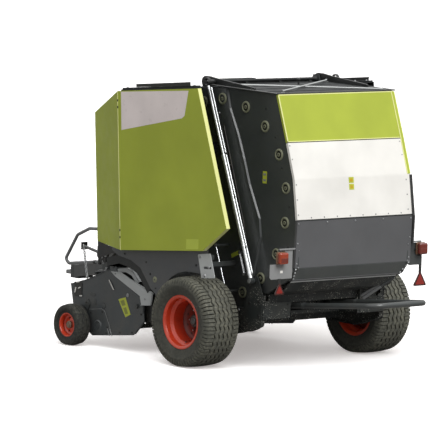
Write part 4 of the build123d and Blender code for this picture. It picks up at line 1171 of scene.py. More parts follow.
    def sill(self) -> Shape:
        """Dark sill that runs in under the back, with a pale lip and slanting bolted ends."""
        shape = Shape(Coat.GREY)
        a, b, c = (self.foot[0] + 1, self.foot[1] - 3), self.lip, self.tail
        ends = [(684, a), (640, b), (622, c)]
        left = [(x, y, z) for y, (x, z) in ends]
        right = [(x, -y, z) for y, (x, z) in ends]
        shape.strip(left[:2], right[:2], 5, 1.0, Coat.SILL)
        shape.strip(left[1:], right[1:], 5, 1.0)
        shape.pipe([left[2], right[2]], 8, 0, 12, Coat.STAY)
        shape.pipe([left[1], right[1]], 3.5, 0, 8)
        for sign in (1, -1):
            corners = [(a[0] + 2, sign * 684, a[1]), (b[0] + 2, sign * 640, b[1]), (c[0] + 2, sign * 622, c[1]),
                (c[0] + 30, sign * 656, c[1] + 24), (a[0] + 36, sign * 683, a[1])]
            shape.plate(corners, (4, -sign * 3.0, 0), finish=Coat.CHARCOAL)
            spots = [(a[0] - 4 + (b[0] - a[0]) * t, sign * (674 - 44 * t), a[1] + (b[1] - a[1]) * t)
                for t in (0.1, 0.38, 0.66, 0.92)]
            shape.bolts(spots, 7.5, facing=(-0.8, 0, -0.55))
        return shape

    def build(self, shop: Workshop) -> None:
        """Make the tailgate's pieces."""
        self.sides().both().place(shop, "gate_side_plates", "tailgate", "dark_paint", ["left_gate_side",
            "right_gate_side"])
        self.label().place(shop, "gate_side_label", "tailgate", "lime_paint")
        self.upper().place(shop, "gate_upper_panel", "tailgate", "lime_paint", ["gate_panel_upper"])
        self.right_rail().place(shop, "gate_right_rail", "tailgate", "lime_paint")
        self.middle().place(shop, "gate_middle_panel", "tailgate", "white_paint", ["gate_panel_middle"])
        self.seams().place(shop, "gate_seams", "tailgate", "dark_paint")
        self.lower().place(shop, "gate_lower_panel", "tailgate", "grey_paint", ["gate_panel_lower"])
        self.sill().place(shop, "gate_foot_sill", "tailgate", "light_grey_paint", ["gate_sill"])


@dataclass
class GateRoof:
    """Roof sheet of the tailgate, its crossed stays, its hinge arms and the cover ahead of the hinge."""

    rear: Pair = (-724.0, 2474.0)
    front: Pair = (146.0, 2492.0)
    half_y: float = 709.0
    stay_r: float = 6.5

    def height(self, x: float) -> float:
        """Top of the roof sheet."""
        return self.rear[1] + (self.front[1] - self.rear[1]) * (x - self.rear[0]) / (self.front[0] - self.rear[0])

    def sheet(self) -> Shape:
        """Roof sheet with pale edge angles, cross ribs and a lifting knob."""
        shape = Shape(Coat.ROOF)
        shape.bent([self.rear, self.front], 6, -self.half_y, self.half_y, 1.5)
        for sign in (1, -1):
            shape.bent([(x, self.height(x) + 5) for x in (-724, 146)], 5, sign * 697, sign * 709, 1,
                finish=Coat.LIGHT_GREY)
        for x in (-560, -330, -110, 100):
            shape.block((x - 9, -660, self.height(x) - 1), (x + 9, 660, self.height(x) + 4))
        shape.pin((-21, -180, 2488), (-21, -180, 2520), 8, finish=Coat.BLACK)
        shape.turned([(0, -17), (9, -14), (15, -8), (17, 0), (15, 8), (9, 14), (0, 17)], (-21, -180, 2532), 20,
            Coat.BLACK, (0, 0, 1), False)
        return shape

    def stays(self) -> Shape:
        """Two crossed round stays with flattened, bolted ends."""
        shape = Shape(Coat.STAY)
        for (ax, ay), (bx, by), lift in (((76, 602), (-672, -604), 9), ((-690, 595), (70, -595), 20)):
            start = Vector((ax, ay, self.height(ax) + lift))
            end = Vector((bx, by, self.height(bx) + lift))
            shape.pin(start, end, self.stay_r, steps=16)
            heading = math.atan2(by - ay, bx - ax)
            for spot in (start, end):
                floor = self.height(spot.x) + 1
                shape.block((spot.x - 26, spot.y - 13, floor), (spot.x + 26, spot.y + 13, floor + 6), 1,
                    Coat.LIGHT_GREY, Matrix.Rotation(heading, 4, "Z"))
                shape.bolts([(spot.x, spot.y, spot.z + self.stay_r - 1)], 7, facing=(0, 0, 1))
        return shape

    def arms(self) -> Shape:
        """Hinge arms with their bosses and the pins of the lift cylinders."""
        shape = Shape(Coat.BLACK)
        line = [(-400, self.height(-400) + 0.6), (-400, self.height(-400) + 22), (90, 2548), (200, 2562), (266, 2562),
            (298, 2546), (310, 2512), (298, 2478), (266, 2462), (222, 2474), (170, self.height(170) + 0.6)]
        shape.slab(flat(bends(line, 14, 3, True)), 656, 678, 3)
        shape.pin((HINGE[0], 652, HINGE[1]), (HINGE[0], 682, HINGE[1]), 42, steps=36, bore=25.3)
        shape.pin((130, 678, 2520), (130, 783, 2520), 11, finish=Coat.ZINC)
        shape.pin((130, 678, 2520), (130, 744, 2520), 20)
        shape.pin((130, 779, 2520), (130, 786, 2520), 17)
        shape.bolts([(-360, 678, 2492), (-250, 678, 2502), (-120, 678, 2514)], 9, Coat.BLACK)
        return shape

    def hinge_cover(self) -> Shape:
        """Hinge tube, thinner between its ends, and a box member just ahead of it with a flap over its left half."""
        shape = Shape(Coat.ROOF)
        profile = [(0, -690), (25, -690), (25, -628), (13, -612), (13, 612), (25, 628), (25, 690), (0, 690)]
        shape.turned(profile, (HINGE[0], 0, HINGE[1]), 32, closed=False)
        shape.block((290, -638, 2432), (336, 638, 2518), 3)
        shape.block((284, 60, 2519), (350, 636, 2528), 2)
        shape.block((255, -630, 2452), (262, 630, 2489), 1)
        for y in (-560, -200, 200, 560):
            shape.block((240, y - 16, 2470), (300, y + 16, 2500), 2)
        return shape

    def build(self, shop: Workshop) -> None:
        """Make the roof's pieces."""
        self.sheet().place(shop, "gate_roof_sheet", "tailgate", "dark_paint", ["gate_roof"])
        self.stays().place(shop, "gate_roof_stays", "tailgate", "light_grey_paint", ["roof_braces"])
        self.arms().both().place(shop, "gate_hinge_arms", "tailgate", "dark_paint", ["left_gate_arm", "right_gate_arm"])
        self.hinge_cover().place(shop, "hinge_cover", "frame", "dark_paint", ["hinge_tube"])


@dataclass
class RearLamp:
    """One side's lamp on its plate and square stay, and its hanging triangle."""

    side: Side
    x: float = -1000.0
    y: float = 850.0
    z: float = 1073.0
    plate: tuple[Pair, ...] = ((704, 890), (704, 1148), (790, 1148), (790, 1019), (962, 1019), (962, 905), (946, 888))
    sign_y: float = 852.0
    sign_half: float = 60.0
    sign_top: float = 862.0
    sign_foot: float = 752.0
    stem_top: float = 893.0

    def bracket(self, shape: Shape) -> None:
        """Add the plate, the stays and their bolts."""
        finish = Coat.LIGHT_GREY if self.side is Side.LEFT else Coat.CHARCOAL
        shape.slab(self.plate, self.x, self.x + 5, 1.2, finish, Lie.YZ)
        shape.block((self.x - 13, 640, 1140), (self.x + 1, self.y + 14, 1154), 2, Coat.LIGHT_GREY)
        shape.block((self.x - 15, 640, 952), (self.x - 1, 654, 1154), 2)
        shape.block((self.x, self.y - 22, 1015), (self.x + 6, self.y + 18, 1150), 1)
        shape.block((self.x + 5, 684, 940), (self.x + 19, 750, 970))
        shape.bolts([(self.x - 15, 647, z) for z in (1130, 980)], 6, facing=(-1, 0, 0))
        if self.side is Side.LEFT:
            shape.plate([(self.x - 1.2, 845, 962), (self.x - 1.2, 815, 962), (self.x - 1.2, 815, 940),
                (self.x - 1.2, 845, 940)], (-0.8, 0, 0), 0, Coat.WHITE)

    def lamp(self, shape: Shape) -> None:
        """Add the weathered base, the rounded lens with its darker field, and the cable gland."""
        x, y, z = self.x, self.y, self.z
        shape.block((x - 26, y - 52, z - 54), (x - 2, y + 52, z + 54), 10, Coat.WORN_AMBER)
        lens = Coat.LENS if self.side is Side.LEFT else Coat.LENS_DARK
        shape.block((x - 66, y - 50, z - 51), (x - 22, y + 50, z + 51), 17, lens, segments=4)
        shape.block((x - 67.5, y - 40, z - 36), (x - 60, y + 40, z + 4), 6, Coat.LENS_DARK)
        shape.pin((x - 10, y - 62, z - 8), (x - 10, y - 48, z - 8), 9, finish=Coat.DARK_PLASTIC)

    def triangle(self, shape: Shape) -> None:
        """Add the red triangle in its darker rim on a black stem."""
        y, x, half, low, high = self.sign_y, self.x, self.sign_half, self.sign_foot, self.sign_top
        rim = flat(bends([(y - half, low), (y + half, low), (y, high)], 14, 4, True))
        inner = flat(bends([(y - half * 0.66, low + 13), (y + half * 0.66, low + 13), (y, high - 28)], 9, 4, True))
        shape.slab(rim, x - 9, x - 2, finish=Coat.RIM_RED, lie=Lie.YZ)
        shape.slab(inner, x - 11, x - 8, 0.8, Coat.REFLECTOR, Lie.YZ)
        shape.block((x - 8, y - 15, high - 20), (x - 1, y + 15, self.stem_top), finish=Coat.BLACK)

    def build(self, shop: Workshop) -> None:
        """Make the lamp's pieces."""
        for make, name, slot, node in ((self.bracket, "lamp_plate", "light_grey_paint", "lamp_brackets"),
                (self.lamp, "tail_lamp_unit", "lamp_plastic", "tail_lamps"), (self.triangle, "hanging_reflector",
                "reflector_plastic", "reflectors")):
            shape = Shape()
            make(shape)
            shape.turn_to(self.side).place(shop, f"{self.side.word}_{name}", "tailgate", slot, [node])


@dataclass
class Bearings:
    """Flanged cast bearing housings at the roller ends."""

    gate: tuple[int, ...] = (90, 70, 50, 30, 10, -10, -30, -50)
    frame: tuple[int, ...] = (110, 130, 150, 170, 190, 210, -70, -90, -110)

    def housings(self, angles: Sequence[int], floor: float) -> Shape:
        """Housings of one side at some angles, on a plate whose outside is at a given y."""
        shape = Shape(Coat.RING)
        for angle in angles:
            x, z = roller_at(angle)
            base = 690 if angle == 90 else floor
            profile = [(30, base - 2), (50, base - 2), (52, base), (52, base + 5), (49, base + 9), (44, base + 12),
                (38, base + 12), (35, base + 9), (34, base + 3), (20, base + 3)]
            shape.turned(profile, (x, 0, z), 40, closed=False)
            shape.pin((x, base - 2, z), (x, base + 4.5, z), 34, 0.5, finish=Coat.BLACK)
            shape.pin((x, base, z), (x, base + 11, z), 17, 2)
            shape.pin((x, base + 5, z), (x, base + 12, z), 7, 1, 12, Coat.BLACK)
        return shape

    def build(self, shop: Workshop) -> None:
        """Make the housings of the gate and of the frame."""
        self.housings(self.gate, 674.0).both().place(shop, "gate_bearing_housings", "tailgate", "grey_paint",
            ["gate_bearings"])
        self.housings(self.frame, 650.0).both().place(shop, "frame_bearing_housings", "frame", "grey_paint",
            ["frame_bearings"])


@dataclass
class LiftCylinders:
    """Tailgate lift cylinders with their pipes and eyes."""

    foot: Pair = (-535.0, 822.0)
    head: Pair = (130.0, 2520.0)
    y: float = 762.0
    barrel_r: float = 22.5
    rod_r: float = 15.0

    def at(self, distance: float, off: float = 0.0, y: float = 0.0) -> Triple:
        """Point at a distance up the cylinder's line, set off to its rear."""
        length = math.dist(self.foot, self.head)
        ux, uz = (self.head[0] - self.foot[0]) / length, (self.head[1] - self.foot[1]) / length
        return self.foot[0] + ux * distance - uz * off, self.y + y, self.foot[1] + uz * distance + ux * off

    def barrel(self) -> Shape:
        """Barrel with its foot eye, gland, ports and the pipe beside it."""
        shape, low, high = Shape(Coat.SILVER), self.y - 22, self.y + 22
        fx, fz = self.foot
        shape.pin((fx, low, fz), (fx, high, fz), 26, finish=Coat.CHARCOAL, bore=11.3)
        shape.pin(self.at(22), self.at(1150), 19.5, 3, 32)
        for d in (48, 1104):
            shape.pin(self.at(d), self.at(d + 46), self.barrel_r, 3, 32)
        shape.pipe([self.at(1140, 16), self.at(1140, 34), self.at(60, 34), self.at(60, 16)], 8, 14, 12)
        for d in (300, 760):
            shape.plate([self.at(d - 6, 14, -9), self.at(d + 6, 14, -9), self.at(d + 6, 43, -9),
                self.at(d - 6, 43, -9)], (0, 18, 0), 2)
        return shape

    def rod(self) -> Shape:
        """Chromed rod with a dark eye at its head and a guide rod beside it."""
        shape, low, high = Shape(Coat.SILVER), self.y - 15, self.y + 15
        length = math.dist(self.foot, self.head)
        shape.pin(self.at(700), self.at(length - 40), self.rod_r, 2, 32)
        shape.pin(self.at(1160, 34), self.at(length - 60, 34), 7, 2, 12)
        shape.pin(self.at(length - 80, 8), self.at(length - 80, 40), 8, 2, 12)
        hx, hz = self.head
        shape.pin((hx, low, hz), (hx, high, hz), 38, 3, 36, Coat.BLACK, 29)
        return shape

    def build(self, shop: Workshop) -> None:
        """Make both cylinders."""
        for side in Side:
            for shape, part in ((self.barrel(), "barrel"), (self.rod(), "rod")):
                shape.turn_to(side).place(shop, f"{side.word}_lift_{part}", f"{side.word}_{part}", "chrome_plate",
                    [f"{side.word}_cylinder_{part}"])


# ---- under-frame, bale kicker and skirts
@dataclass
class UnderFrame:
    """Axle hangers, the plates and stays under the chamber, and the long kicker hoop."""

    hanger_y: float = 717.0
    hanger_t: float = 10.0
    outline: tuple[Pair, ...] = ((150, 566), (120, 360), (60, 330), (-280, 322), (-420, 352), (-640, 420), (-650, 700),
        (-575, 864), (-505, 864), (-476, 740), (-400, 566))
    cylinder_foot: Pair = (-535.0, 822.0)
    axle: Pair = (-102.0, 435.0)
    kicker_y: float = 310.0
    kicker_front: Pair = (-390.0, 566.0)
    kicker_rear: Pair = (-1650.0, 692.0)
    kicker_r: float = 25.0

    def hanger(self) -> Shape:
        """Left hanger plate with a flanged edge, its feet, the axle's clamp and the cylinder's pin."""
        shape, low, high = Shape(Coat.CHAFFED), self.hanger_y, self.hanger_y + self.hanger_t
        rounded = flat(bends(self.outline, 26, 4, True))
        shape.slab(rounded, low, high, 2)
        lower = flat(bends([(60, 337), (-280, 329), (-420, 359), (-634, 424), (-644, 700)], 40, 5))
        shape.slab(ribbon(lower, 6), low - 34, low, 1)
        for x in (40, -300):
            shape.block((x - 60, 648, 524), (x + 60, low, 560), 3)
            shape.bolts([(x - 34, high, 545), (x + 34, high, 545)], 9)
        ax, az = self.axle
        for x in (ax - 66, ax + 58):
            shape.block((x, low - 4, az - 74), (x + 8, high + 26, az + 74), 2)
        for z in (az - 64, az + 58):
            shape.block((ax - 66, high, z), (ax + 66, high + 22, z + 7), 2)
        shape.bolts([(ax + dx, high + 22, az + dz) for dx in (-62, 62) for dz in (-66, 66)], 8)
        fx, fz = self.cylinder_foot
        shape.pin((fx, high - 1, fz), (fx, 780, fz), 11, finish=Coat.ZINC)
        shape.pin((fx, high, fz), (fx, 734, fz), 27)
        shape.pin((fx, 786, fz), (fx, 792, fz), 20, finish=Coat.ZINC)
        shape.bolts([(-600, high, 640), (-600, high, 520), (-480, high, 620)], 9, Coat.BLACK)
        return shape

    def aprons(self) -> Shape:
        """Cross plate ahead of the kicker's eyes and the rear gussets of the hangers."""
        shape = Shape(Coat.CHAFFED)
        shape.block((-342, -556, 519), (-336, 556, 590), 1)
        shape.block((-632, -640, 626), (-626, 640, 722), 1)
        for y in (-470, -180, 180, 470):
            shape.block((-362, y - 5, 519), (-342, y + 5, 578), 1)
        for sign in (1, -1):
            shape.block((-652, sign * 388, 484), (-644, sign * 716, 632), 2)
            shape.block((-652, sign * 388, 484), (-560, sign * 716, 491), 2)
            shape.block((-652, sign * 388, 484), (-430, sign * 400, 600), 2)
            shape.block((-657, sign * 640, 586), (-652, sign * 704, 652), 1)
            shape.bolts([(-652, sign * y, z) for y in (430, 690) for z in (508, 610)], 7, Coat.BLACK, (-1, 0, 0))
            shape.pipe([(-556, sign * 660, 600), (-470, sign * 688, 505), (-200, sign * 688, 472)], 9, finish=Coat.HOSE)
        return shape

    def tail_apron(self) -> Shape:
        """Crop apron under the tailgate's sill, and the twin stays of its right end."""
        shape = Shape(Coat.CHAFFED)
        line = [(-886, 836), (-806, 752), (-700, 716)]
        shape.bent(line, 4, -634, 634, 1, 30)
        shape.bent([(-700, 716), (-640, 700)], 4, -634, 634, 1)
        for off, radius in ((0.0, 13.0), (26.0, 9.0)):
            top, foot = (-888, -616 + off, 822 + off * 0.4), (-660, -452 + off, 618 + off * 0.9)
            shape.pin(top, foot, radius, finish=Coat.CHARCOAL)
            shape.pin(part_way(top, foot, 0.42), foot, radius + 3, finish=Coat.HOOP)
        shape.block((-672, -476, 596), (-640, -404, 712), 2)
        return shape

    def kicker(self) -> Shape:
        """Tube hoop with its eyes, weld beads, collars and gussets."""
        shape, y = Shape(), self.kicker_y
        (fx, fz), (rx, rz) = self.kicker_front, self.kicker_rear
        run = math.dist(self.kicker_front, self.kicker_rear)
        ux, uz = (rx - fx) / run, (rz - fz) / run
        start = (fx + 30 * ux, y, fz + 30 * uz)
        shape.pipe([start, (rx, y, rz), (rx, -y, rz), (start[0], -y, start[2])], self.kicker_r, 120, 28, steps=12)
        for sign in (1, -1):
            shape.pin((fx, sign * y - 24, fz), (fx, sign * y + 24, fz), 36, 2, 36, bore=15.2)
            for at in (30, 330, 352):
                spot = (fx + at * ux, sign * y, fz + at * uz)
                ahead = (spot[0] + 7 * ux, sign * y, spot[2] + 7 * uz)
                shape.pin(spot, ahead, self.kicker_r + 3, 3, 28)
            gusset = [(fx + 20 * ux, fz + 34), (fx + 150 * ux, fz + 150 * uz + 24), (fx + 20 * ux, fz + 4)]
            shape.slab(gusset, sign * y - 4, sign * y + 4, 1)
        return shape

    def build(self, shop: Workshop) -> None:
        """Make the under-frame's pieces."""
        self.hanger().both().place(shop, "axle_hanger_plates", "frame", "dark_paint", ["axle_hangers"])
        self.aprons().place(shop, "under_frame_plates", "frame", "dark_paint")
        self.tail_apron().place(shop, "tailgate_apron", "tailgate", "dark_paint")
        self.kicker().place(shop, "kicker_hoop", "kicker", "dark_paint", ["bale_kicker"])


@dataclass
class Skirts:
    """Lower side sheets with their stays, arch covers and bearing brackets."""

    outline: tuple[Pair, ...] = ((-335, 1100), (-335, 872), (-40, 872), (60, 848), (150, 802), (225, 740), (285, 666),
        (306, 616), (374, 634), (430, 672), (499, 750), (579, 840), (714, 897), (892, 922), (1010, 975), (775, 1010),
        (740, 1030), (-300, 1120))
    y: float = 1094.0

    def sheets(self) -> Shape:
        """Left sheet with folded edges, swages, its stays and bolts."""
        shape, y = Shape(Coat.SKIRT), self.y
        shape.slab(flat(bends(self.outline, 14, 3, True)), y, y + 6, 1.6)
        top = [(740, 1027), (-300, 1117)]
        shape.bent(top, -5, y - 26, y + 5)
        for x, z in ((-180, 940), (440, 800), (800, 945)):
            shape.block((x - 20, 648, z - 20), (x + 20, y, z + 20), 3, Coat.CHARCOAL)
            shape.bolts([(x, y + 6, z)], 8, Coat.BLACK)
        shape.bent([(-50, 876), (-320, 876)], 5, y - 20, y + 2)
        swage = [(560, 1020), (-220, 1086), (-220, 1074), (560, 1008)]
        shape.slab(swage, y + 4, y + 7.5, 1.4)
        shape.turned([(0, 5), (17, 5), (21, 3), (25, 3), (27, 1), (27, -1), (0, -1)], (373, y + 6, 758), 36, Coat.RING,
            closed=False)
        shape.pin((373, y + 10, 758), (373, y + 14, 758), 8, finish=Coat.CAST)
        shape.bolts([(360, y + 6, 680), (500, y + 6, 900)], 6, Coat.BLACK)
        return shape

    def arches(self) -> Shape:
        """Black moulded arch over the drive, behind the pickup, and the closing plate under the hood's front."""
        shape = Shape(Coat.DARK_PLASTIC)
        shape.slab([(997, 948), (1326, 1004), (1320, 850)], 978, 984, 1, Coat.BLACK)
        line = bends([(1068, 880), (892, 922), (714, 897), (579, 840), (499, 750), (430, 672)], 60, 5)
        rim = flat(line)
        shape.slab(ribbon(rim, 5), 962, 1090, 1.2)
        shape.slab(ribbon(rim, -72), 1084, 1090, 1.2)
        return shape

    def brackets(self) -> Shape:
        """Light grey bracket at the rear end with its slot and bright bolts, and a block behind it."""
        shape, y = Shape(), self.y + 6
        outline = [(-205, 1040), (-372, 1062), (-444, 852), (-262, 834)]
        hole = flat(bends([(-288, 918), (-392, 926), (-392, 948), (-288, 940)], 10, 3, True))
        shape.slab(flat(bends(outline, 12, 3, True)), y, y + 5, 1.2, Coat.STRAP, holes=[hole])
        shape.block((-372, y - 12, 912), (-300, y - 6, 955), 1, Coat.BLACK)
        shape.bolts([(-352, y - 4, 937), (-235, y + 5, 1020), (-300, y + 5, 860)], 11)
        shape.block((-330, 1020, 1000), (-250, 1094, 1040), 3)
        return shape

    def rods(self) -> Shape:
        """Plated pull rods with their end blocks and stand-offs on the wall beside the parting line, and a blank label.
        """
        shape = Shape()
        for (x0, z0), (x1, z1), y in (((-90, 1096), (-242, 706), 800), ((-359, 1054), (-429, 870), 756),
                ((-292, 1056), (-366, 861), 690)):
            shape.pin((x0, y, z0), (x1, y, z1), 5.5, steps=16, finish=Coat.CHROME)
            for x, z in ((x0, z0), (x1, z1)):
                shape.block((x - 11, y - 8, z - 12), (x + 11, y + 8, z + 12), 2, Coat.ZINC)
                shape.block((x - 8, 648, z - 7), (x + 8, y, z + 7), 2)
        shape.plate([(-124, 649, 1013), (-234, 649, 1061), (-247, 649, 1026), (-136, 649, 980)], (0, 1, 0), 0,
            Coat.LABEL)
        return shape

    def build(self, shop: Workshop) -> None:
        """Make the skirts' pieces."""
        self.sheets().both().place(shop, "skirt_sheets", "frame", "dark_paint", ["side_skirts"])
        self.arches().both().place(shop, "drive_arches", "frame", "dark_paint")
        self.brackets().both().place(shop, "skirt_brackets", "frame", "light_grey_paint")
        self.rods().both().place(shop, "pull_rods", "frame", "zinc_plate")


# ---- pickup
@dataclass
class Pickup:
    """Pickup housing, stripper bands, tine reel, crop guard and the feed rotor behind it."""

    side_y: float = 950.0
    outline: tuple[Pair, ...] = ((700, 540), (675, 342), (822, 201), (1404, 135), (1560, 230), (1690, 400), (1728, 571),
        (1494, 634), (1170, 760), (1165, 828), (1095, 828), (1075, 755), (860, 600))
    reel: Pair = (1250.0, 420.0)
    reel_reach: float = 236.0
    tine_bar_r: float = 150.0
    pitches: int = 25
    guard_pivot: Pair = (1130.0, 795.0)
    guard_front: Pair = (1520.0, 690.0)
    rotor: Pair = (775.0, 605.0)
    pivot: Pair = (770.0, 470.0)

    def sides(self) -> Shape:
        """Left side plate: bores, folded rim, access plate, swages, latches and bearing cap."""
        shape, y = Shape(Coat.PANEL), self.side_y
        face = y + 8
        holes = [circle(self.reel, 27, 24), circle(self.guard_pivot, 19, 24), circle(self.pivot, 21, 24)]
        shape.slab(self.outline, y, face, 2, holes=holes)
        top = flat(bends([(1728, 571), (1494, 634), (1176, 756)], 40, 4))
        shape.slab(ribbon(top, 5), y - 30, face + 6)
        low = flat(bends([(690, 338), (826, 206), (1400, 140), (1554, 234), (1686, 402)], 60, 5))
        shape.slab(ribbon(low, -6), y - 24, y + 1)
        cover = [(1447, 365), (1269, 388), (1233, 374), (1150, 232), (1180, 160), (1400, 158), (1470, 205)]
        shape.slab(flat(bends(cover, 22, 4, True)), face - 1, face + 4, 1.6)
        # Light grey strip along the access plate's top and rear edges: a painted highlight.
        edge = flat(bends([(1447, 368), (1269, 391), (1231, 377), (1148, 233), (1172, 172)], 22, 4))
        shape.slab(ribbon(edge, 4), face + 2, face + 6, 0.8, Coat.LIGHT_GREY)
        for x in (1186, 1150):
            shape.pin((x, face + 3, 222), (x - 34, face + 3, 158), 3.2, steps=10, finish=Coat.LIGHT_GREY)
        shape.turned([(30, -1), (30, 6), (44, 8), (52, 4), (56, -1)], (1321, face + 4, 232), 32, closed=False)
        shape.pin((1321, face, 232), (1321, face + 10, 232), 30, 3, 28)
        for centre, wide, high in (((1405, 512), 44, 19), ((1370, 445), 17, 34)):
            rim = [(centre[0] + wide * math.cos(math.tau * i / 20), centre[1] + high * math.sin(math.tau * i / 20))
                for i in range(20)]
            shape.slab(rim, face - 1, face + 3, 2, Coat.CHARCOAL)
        shape.bolts([(x, face + 4, z) for x, z in ((1425, 342), (1262, 366), (1185, 236), (1200, 180), (1390, 178))], 6,
            Coat.BLACK)
        shape.bolts([(x, face, z) for x, z in ((720, 400), (840, 225), (1010, 205), (1600, 330), (1660, 560))], 7,
            Coat.BLACK)
        return shape

    def trims(self) -> Shape:
        """Bright rod, disc, latches and the blank label of the left side."""
        shape, face = Shape(Coat.WHITE), self.side_y + 8
        shape.pin((1170, face + 9, 664), (1103, face + 9, 583), 5.5, steps=12)
        shape.turned([(0, 6), (13, 6), (17, 3), (18, 0), (0, 0)], (914, face, 552), 24, Coat.LIGHT_GREY, closed=False)
        for (x, z), (dx, dz) in zip(((1628, 598), (1650, 505), (1578, 478), (1600, 545)),
                ((-34, 8), (-10, 46), (-26, 4), (-22, 10))):
            shape.pin((x, face + 12, z), (x + dx, face + 12, z + dz), 6, steps=12)
            shape.pin((x, face, z), (x, face + 16, z), 7, steps=12, finish=Coat.ZINC)
        shape.block((1560, face, 470), (1668, face + 6, 600), 2, Coat.BLACK)
        shape.plate([(1043, face, 503), (944, face, 532), (866, face, 384), (937, face, 352)], (0, 1.4, 0), 0,
            Coat.LABEL)
        shape.plate([(1012, face + 1, 492), (962, face + 1, 507), (938, face + 1, 462), (988, face + 1, 448)],
            (0, 1.0, 0), 0, Coat.OLIVE)
        shape.plate([(970, face + 1, 432), (930, face + 1, 444), (902, face + 1, 390), (938, face + 1, 378)],
            (0, 1.0, 0), 0, Coat.OLIVE)
        return shape

    def straps(self) -> Shape:
        """Light grey lifting strap with its boxed end, and the curved cover behind it."""
        shape, face = Shape(Coat.STRAP), self.side_y + 8
        band = [(1150, 742), (1030, 754), (935, 722), (574, 618), (735, 562), (1088, 704)]
        shape.slab(band, face, face + 6)
        shape.slab([(1135, 747), (1000, 750), (574, 608), (572, 600), (1000, 742), (1135, 739)], face + 4, face + 17, 1)
        box = [(737, 566), (712, 484), (582, 496), (556, 614), (574, 618)]
        shape.slab(box, face, face + 9)
        shape.bent([(712, 484), (582, 496), (556, 612)], 5, face, face + 17, 1)
        shape.slab([(800, 414), (806, 512), (735, 564), (694, 500), (690, 412)], face, face + 6, finish=Coat.PANEL,
            holes=[circle(self.pivot, 21, 24)])
        shape.bolts([(1090, face + 6, 728), (665, face + 9, 545)], 7)
        shape.slab([(1090, 775), (900, 800), (800, 770), (600, 640), (560, 540), (520, 470), (545, 380), (610, 345),
            (762, 318), (762, 420), (735, 440), (735, 560), (1000, 690), (1090, 690)], 905, 915, 2, Coat.BLACK)
        line = flat(bends([(1160, 757), (1055, 782), (960, 796), (860, 770), (773, 690)], 90, 6))
        shape.slab(ribbon(line, -5), 806, self.side_y - 2, 1.2)
        shape.slab(ribbon(line, -40), self.side_y - 8, self.side_y - 2, 1.2)
        return shape

    def bands(self) -> Shape:
        """Stripper bands with their open ends, joined at top and bottom."""
        shape = Shape(Coat.CHAFFED)
        rx, rz = self.reel
        pitch = 2 * self.side_y / self.pitches
        arc = [polar(self.reel, 203, math.radians(a)) for a in range(143, -106, -8)]
        head = [(rx - 248 * 0.822, rz + 248 * 0.569), (rx - 164 + 6, rz + 123 + 2)]
        heel_x = rx - math.sqrt(248 ** 2 - (205 * 0.966) ** 2)
        line = [head[0], head[1], *arc[1:], (rx - 53, rz - 198), (heel_x, rz - 198)]
        for i in range(self.pitches):
            middle = -self.side_y + pitch * (i + 0.5)
            shape.slab(ribbon(line, 3.5), middle - 25, middle + 25, 0, Coat.BAND)
        inner = self.side_y - 0.5
        shape.block((head[0][0] - 23, -inner, head[0][1] - 2), (head[0][0] + 4, inner, head[0][1] + 4), 1)
        shape.block((heel_x - 26, -inner, rz - 202), (heel_x + 1, inner, rz - 196), 1)
        return shape

    def tines(self) -> Shape:
        """Reel shaft with its end caps, spiders, tine bars and hooked double spring tines."""
        shape = Shape(Coat.BLACK)
        rx, rz = self.reel
        end = self.side_y + 10
        shape.pin((rx, -end, rz), (rx, end, rz), 25, 3, 28)
        for sign in (1, -1):
            shape.pin((rx, sign * (end - 8), rz), (rx, sign * (end + 1), rz), 24, 3, finish=Coat.PANEL)
        pitch = 2 * self.side_y / self.pitches
        star = [polar(self.reel, 62 if i % 3 else 168, math.tau * i / 12 + math.pi / 4) for i in range(12)]
        for i in range(0, self.pitches, 6):
            y = -self.side_y + pitch * (i + 0.5)
            shape.slab(flat(bends(star, 26, 3, True)), y - 4, y + 4, 1)
        for quarter in range(4):
            turn = math.radians(45 + 90 * quarter)
            bar, tip = polar(self.reel, self.tine_bar_r, turn), polar(self.reel, self.reel_reach, turn)
            shape.pin((bar[0], 30 - self.side_y, bar[1]), (bar[0], self.side_y - 30, bar[1]), 12)
            for i in range(1, self.pitches):
                y = -self.side_y + pitch * i
                lag = polar(part_way(bar, tip, 0.5), 4, turn - math.pi / 2)
                shape.pipe([(bar[0], y, bar[1]), (lag[0], y, lag[1]), (tip[0], y, tip[1])], 3.2, 20, 6, Coat.ZINC, 2)
                shape.pin((bar[0], y - 10, bar[1]), (bar[0], y + 10, bar[1]), 15, 1, 10, Coat.ZINC)
        return shape

    def guard(self) -> Shape:
        """Crop guard: hinge tube, arms, front bar and sprung fingers with a roller."""
        shape, end = Shape(), self.side_y + 14
        (px, pz), (gx, gz) = self.guard_pivot, self.guard_front
        shape.pin((px, -end, pz), (px, end, pz), 18)
        shape.pin((gx, -850, gz), (gx, 850, gz), 13)
        run = math.dist(self.guard_pivot, self.guard_front)
        ux, uz = (gx - px) / run, (gz - pz) / run
        for y in (-700, 0, 700):
            arm = [(px + 5 * ux, pz + 16), (gx, gz + 4), (gx, gz - 9), (px + 4, pz - 16)]
            shape.slab(flat(bends(arm, 5, 3, True)), y - 19, y + 19, 2)
        for i in range(24):
            y = -828 + 72 * i
            if min(abs(y - at) for at in (-700, 0, 700)) < 26:
                continue
            shape.pipe([(gx - 20 * ux, y, gz - 20 * uz + 14), (gx - 190 * ux, y, gz - 190 * uz + 20),
                (px + 60 * ux, y, pz + 60 * uz + 8)], 4, 40, 8, Coat.ZINC, 3)
        return shape

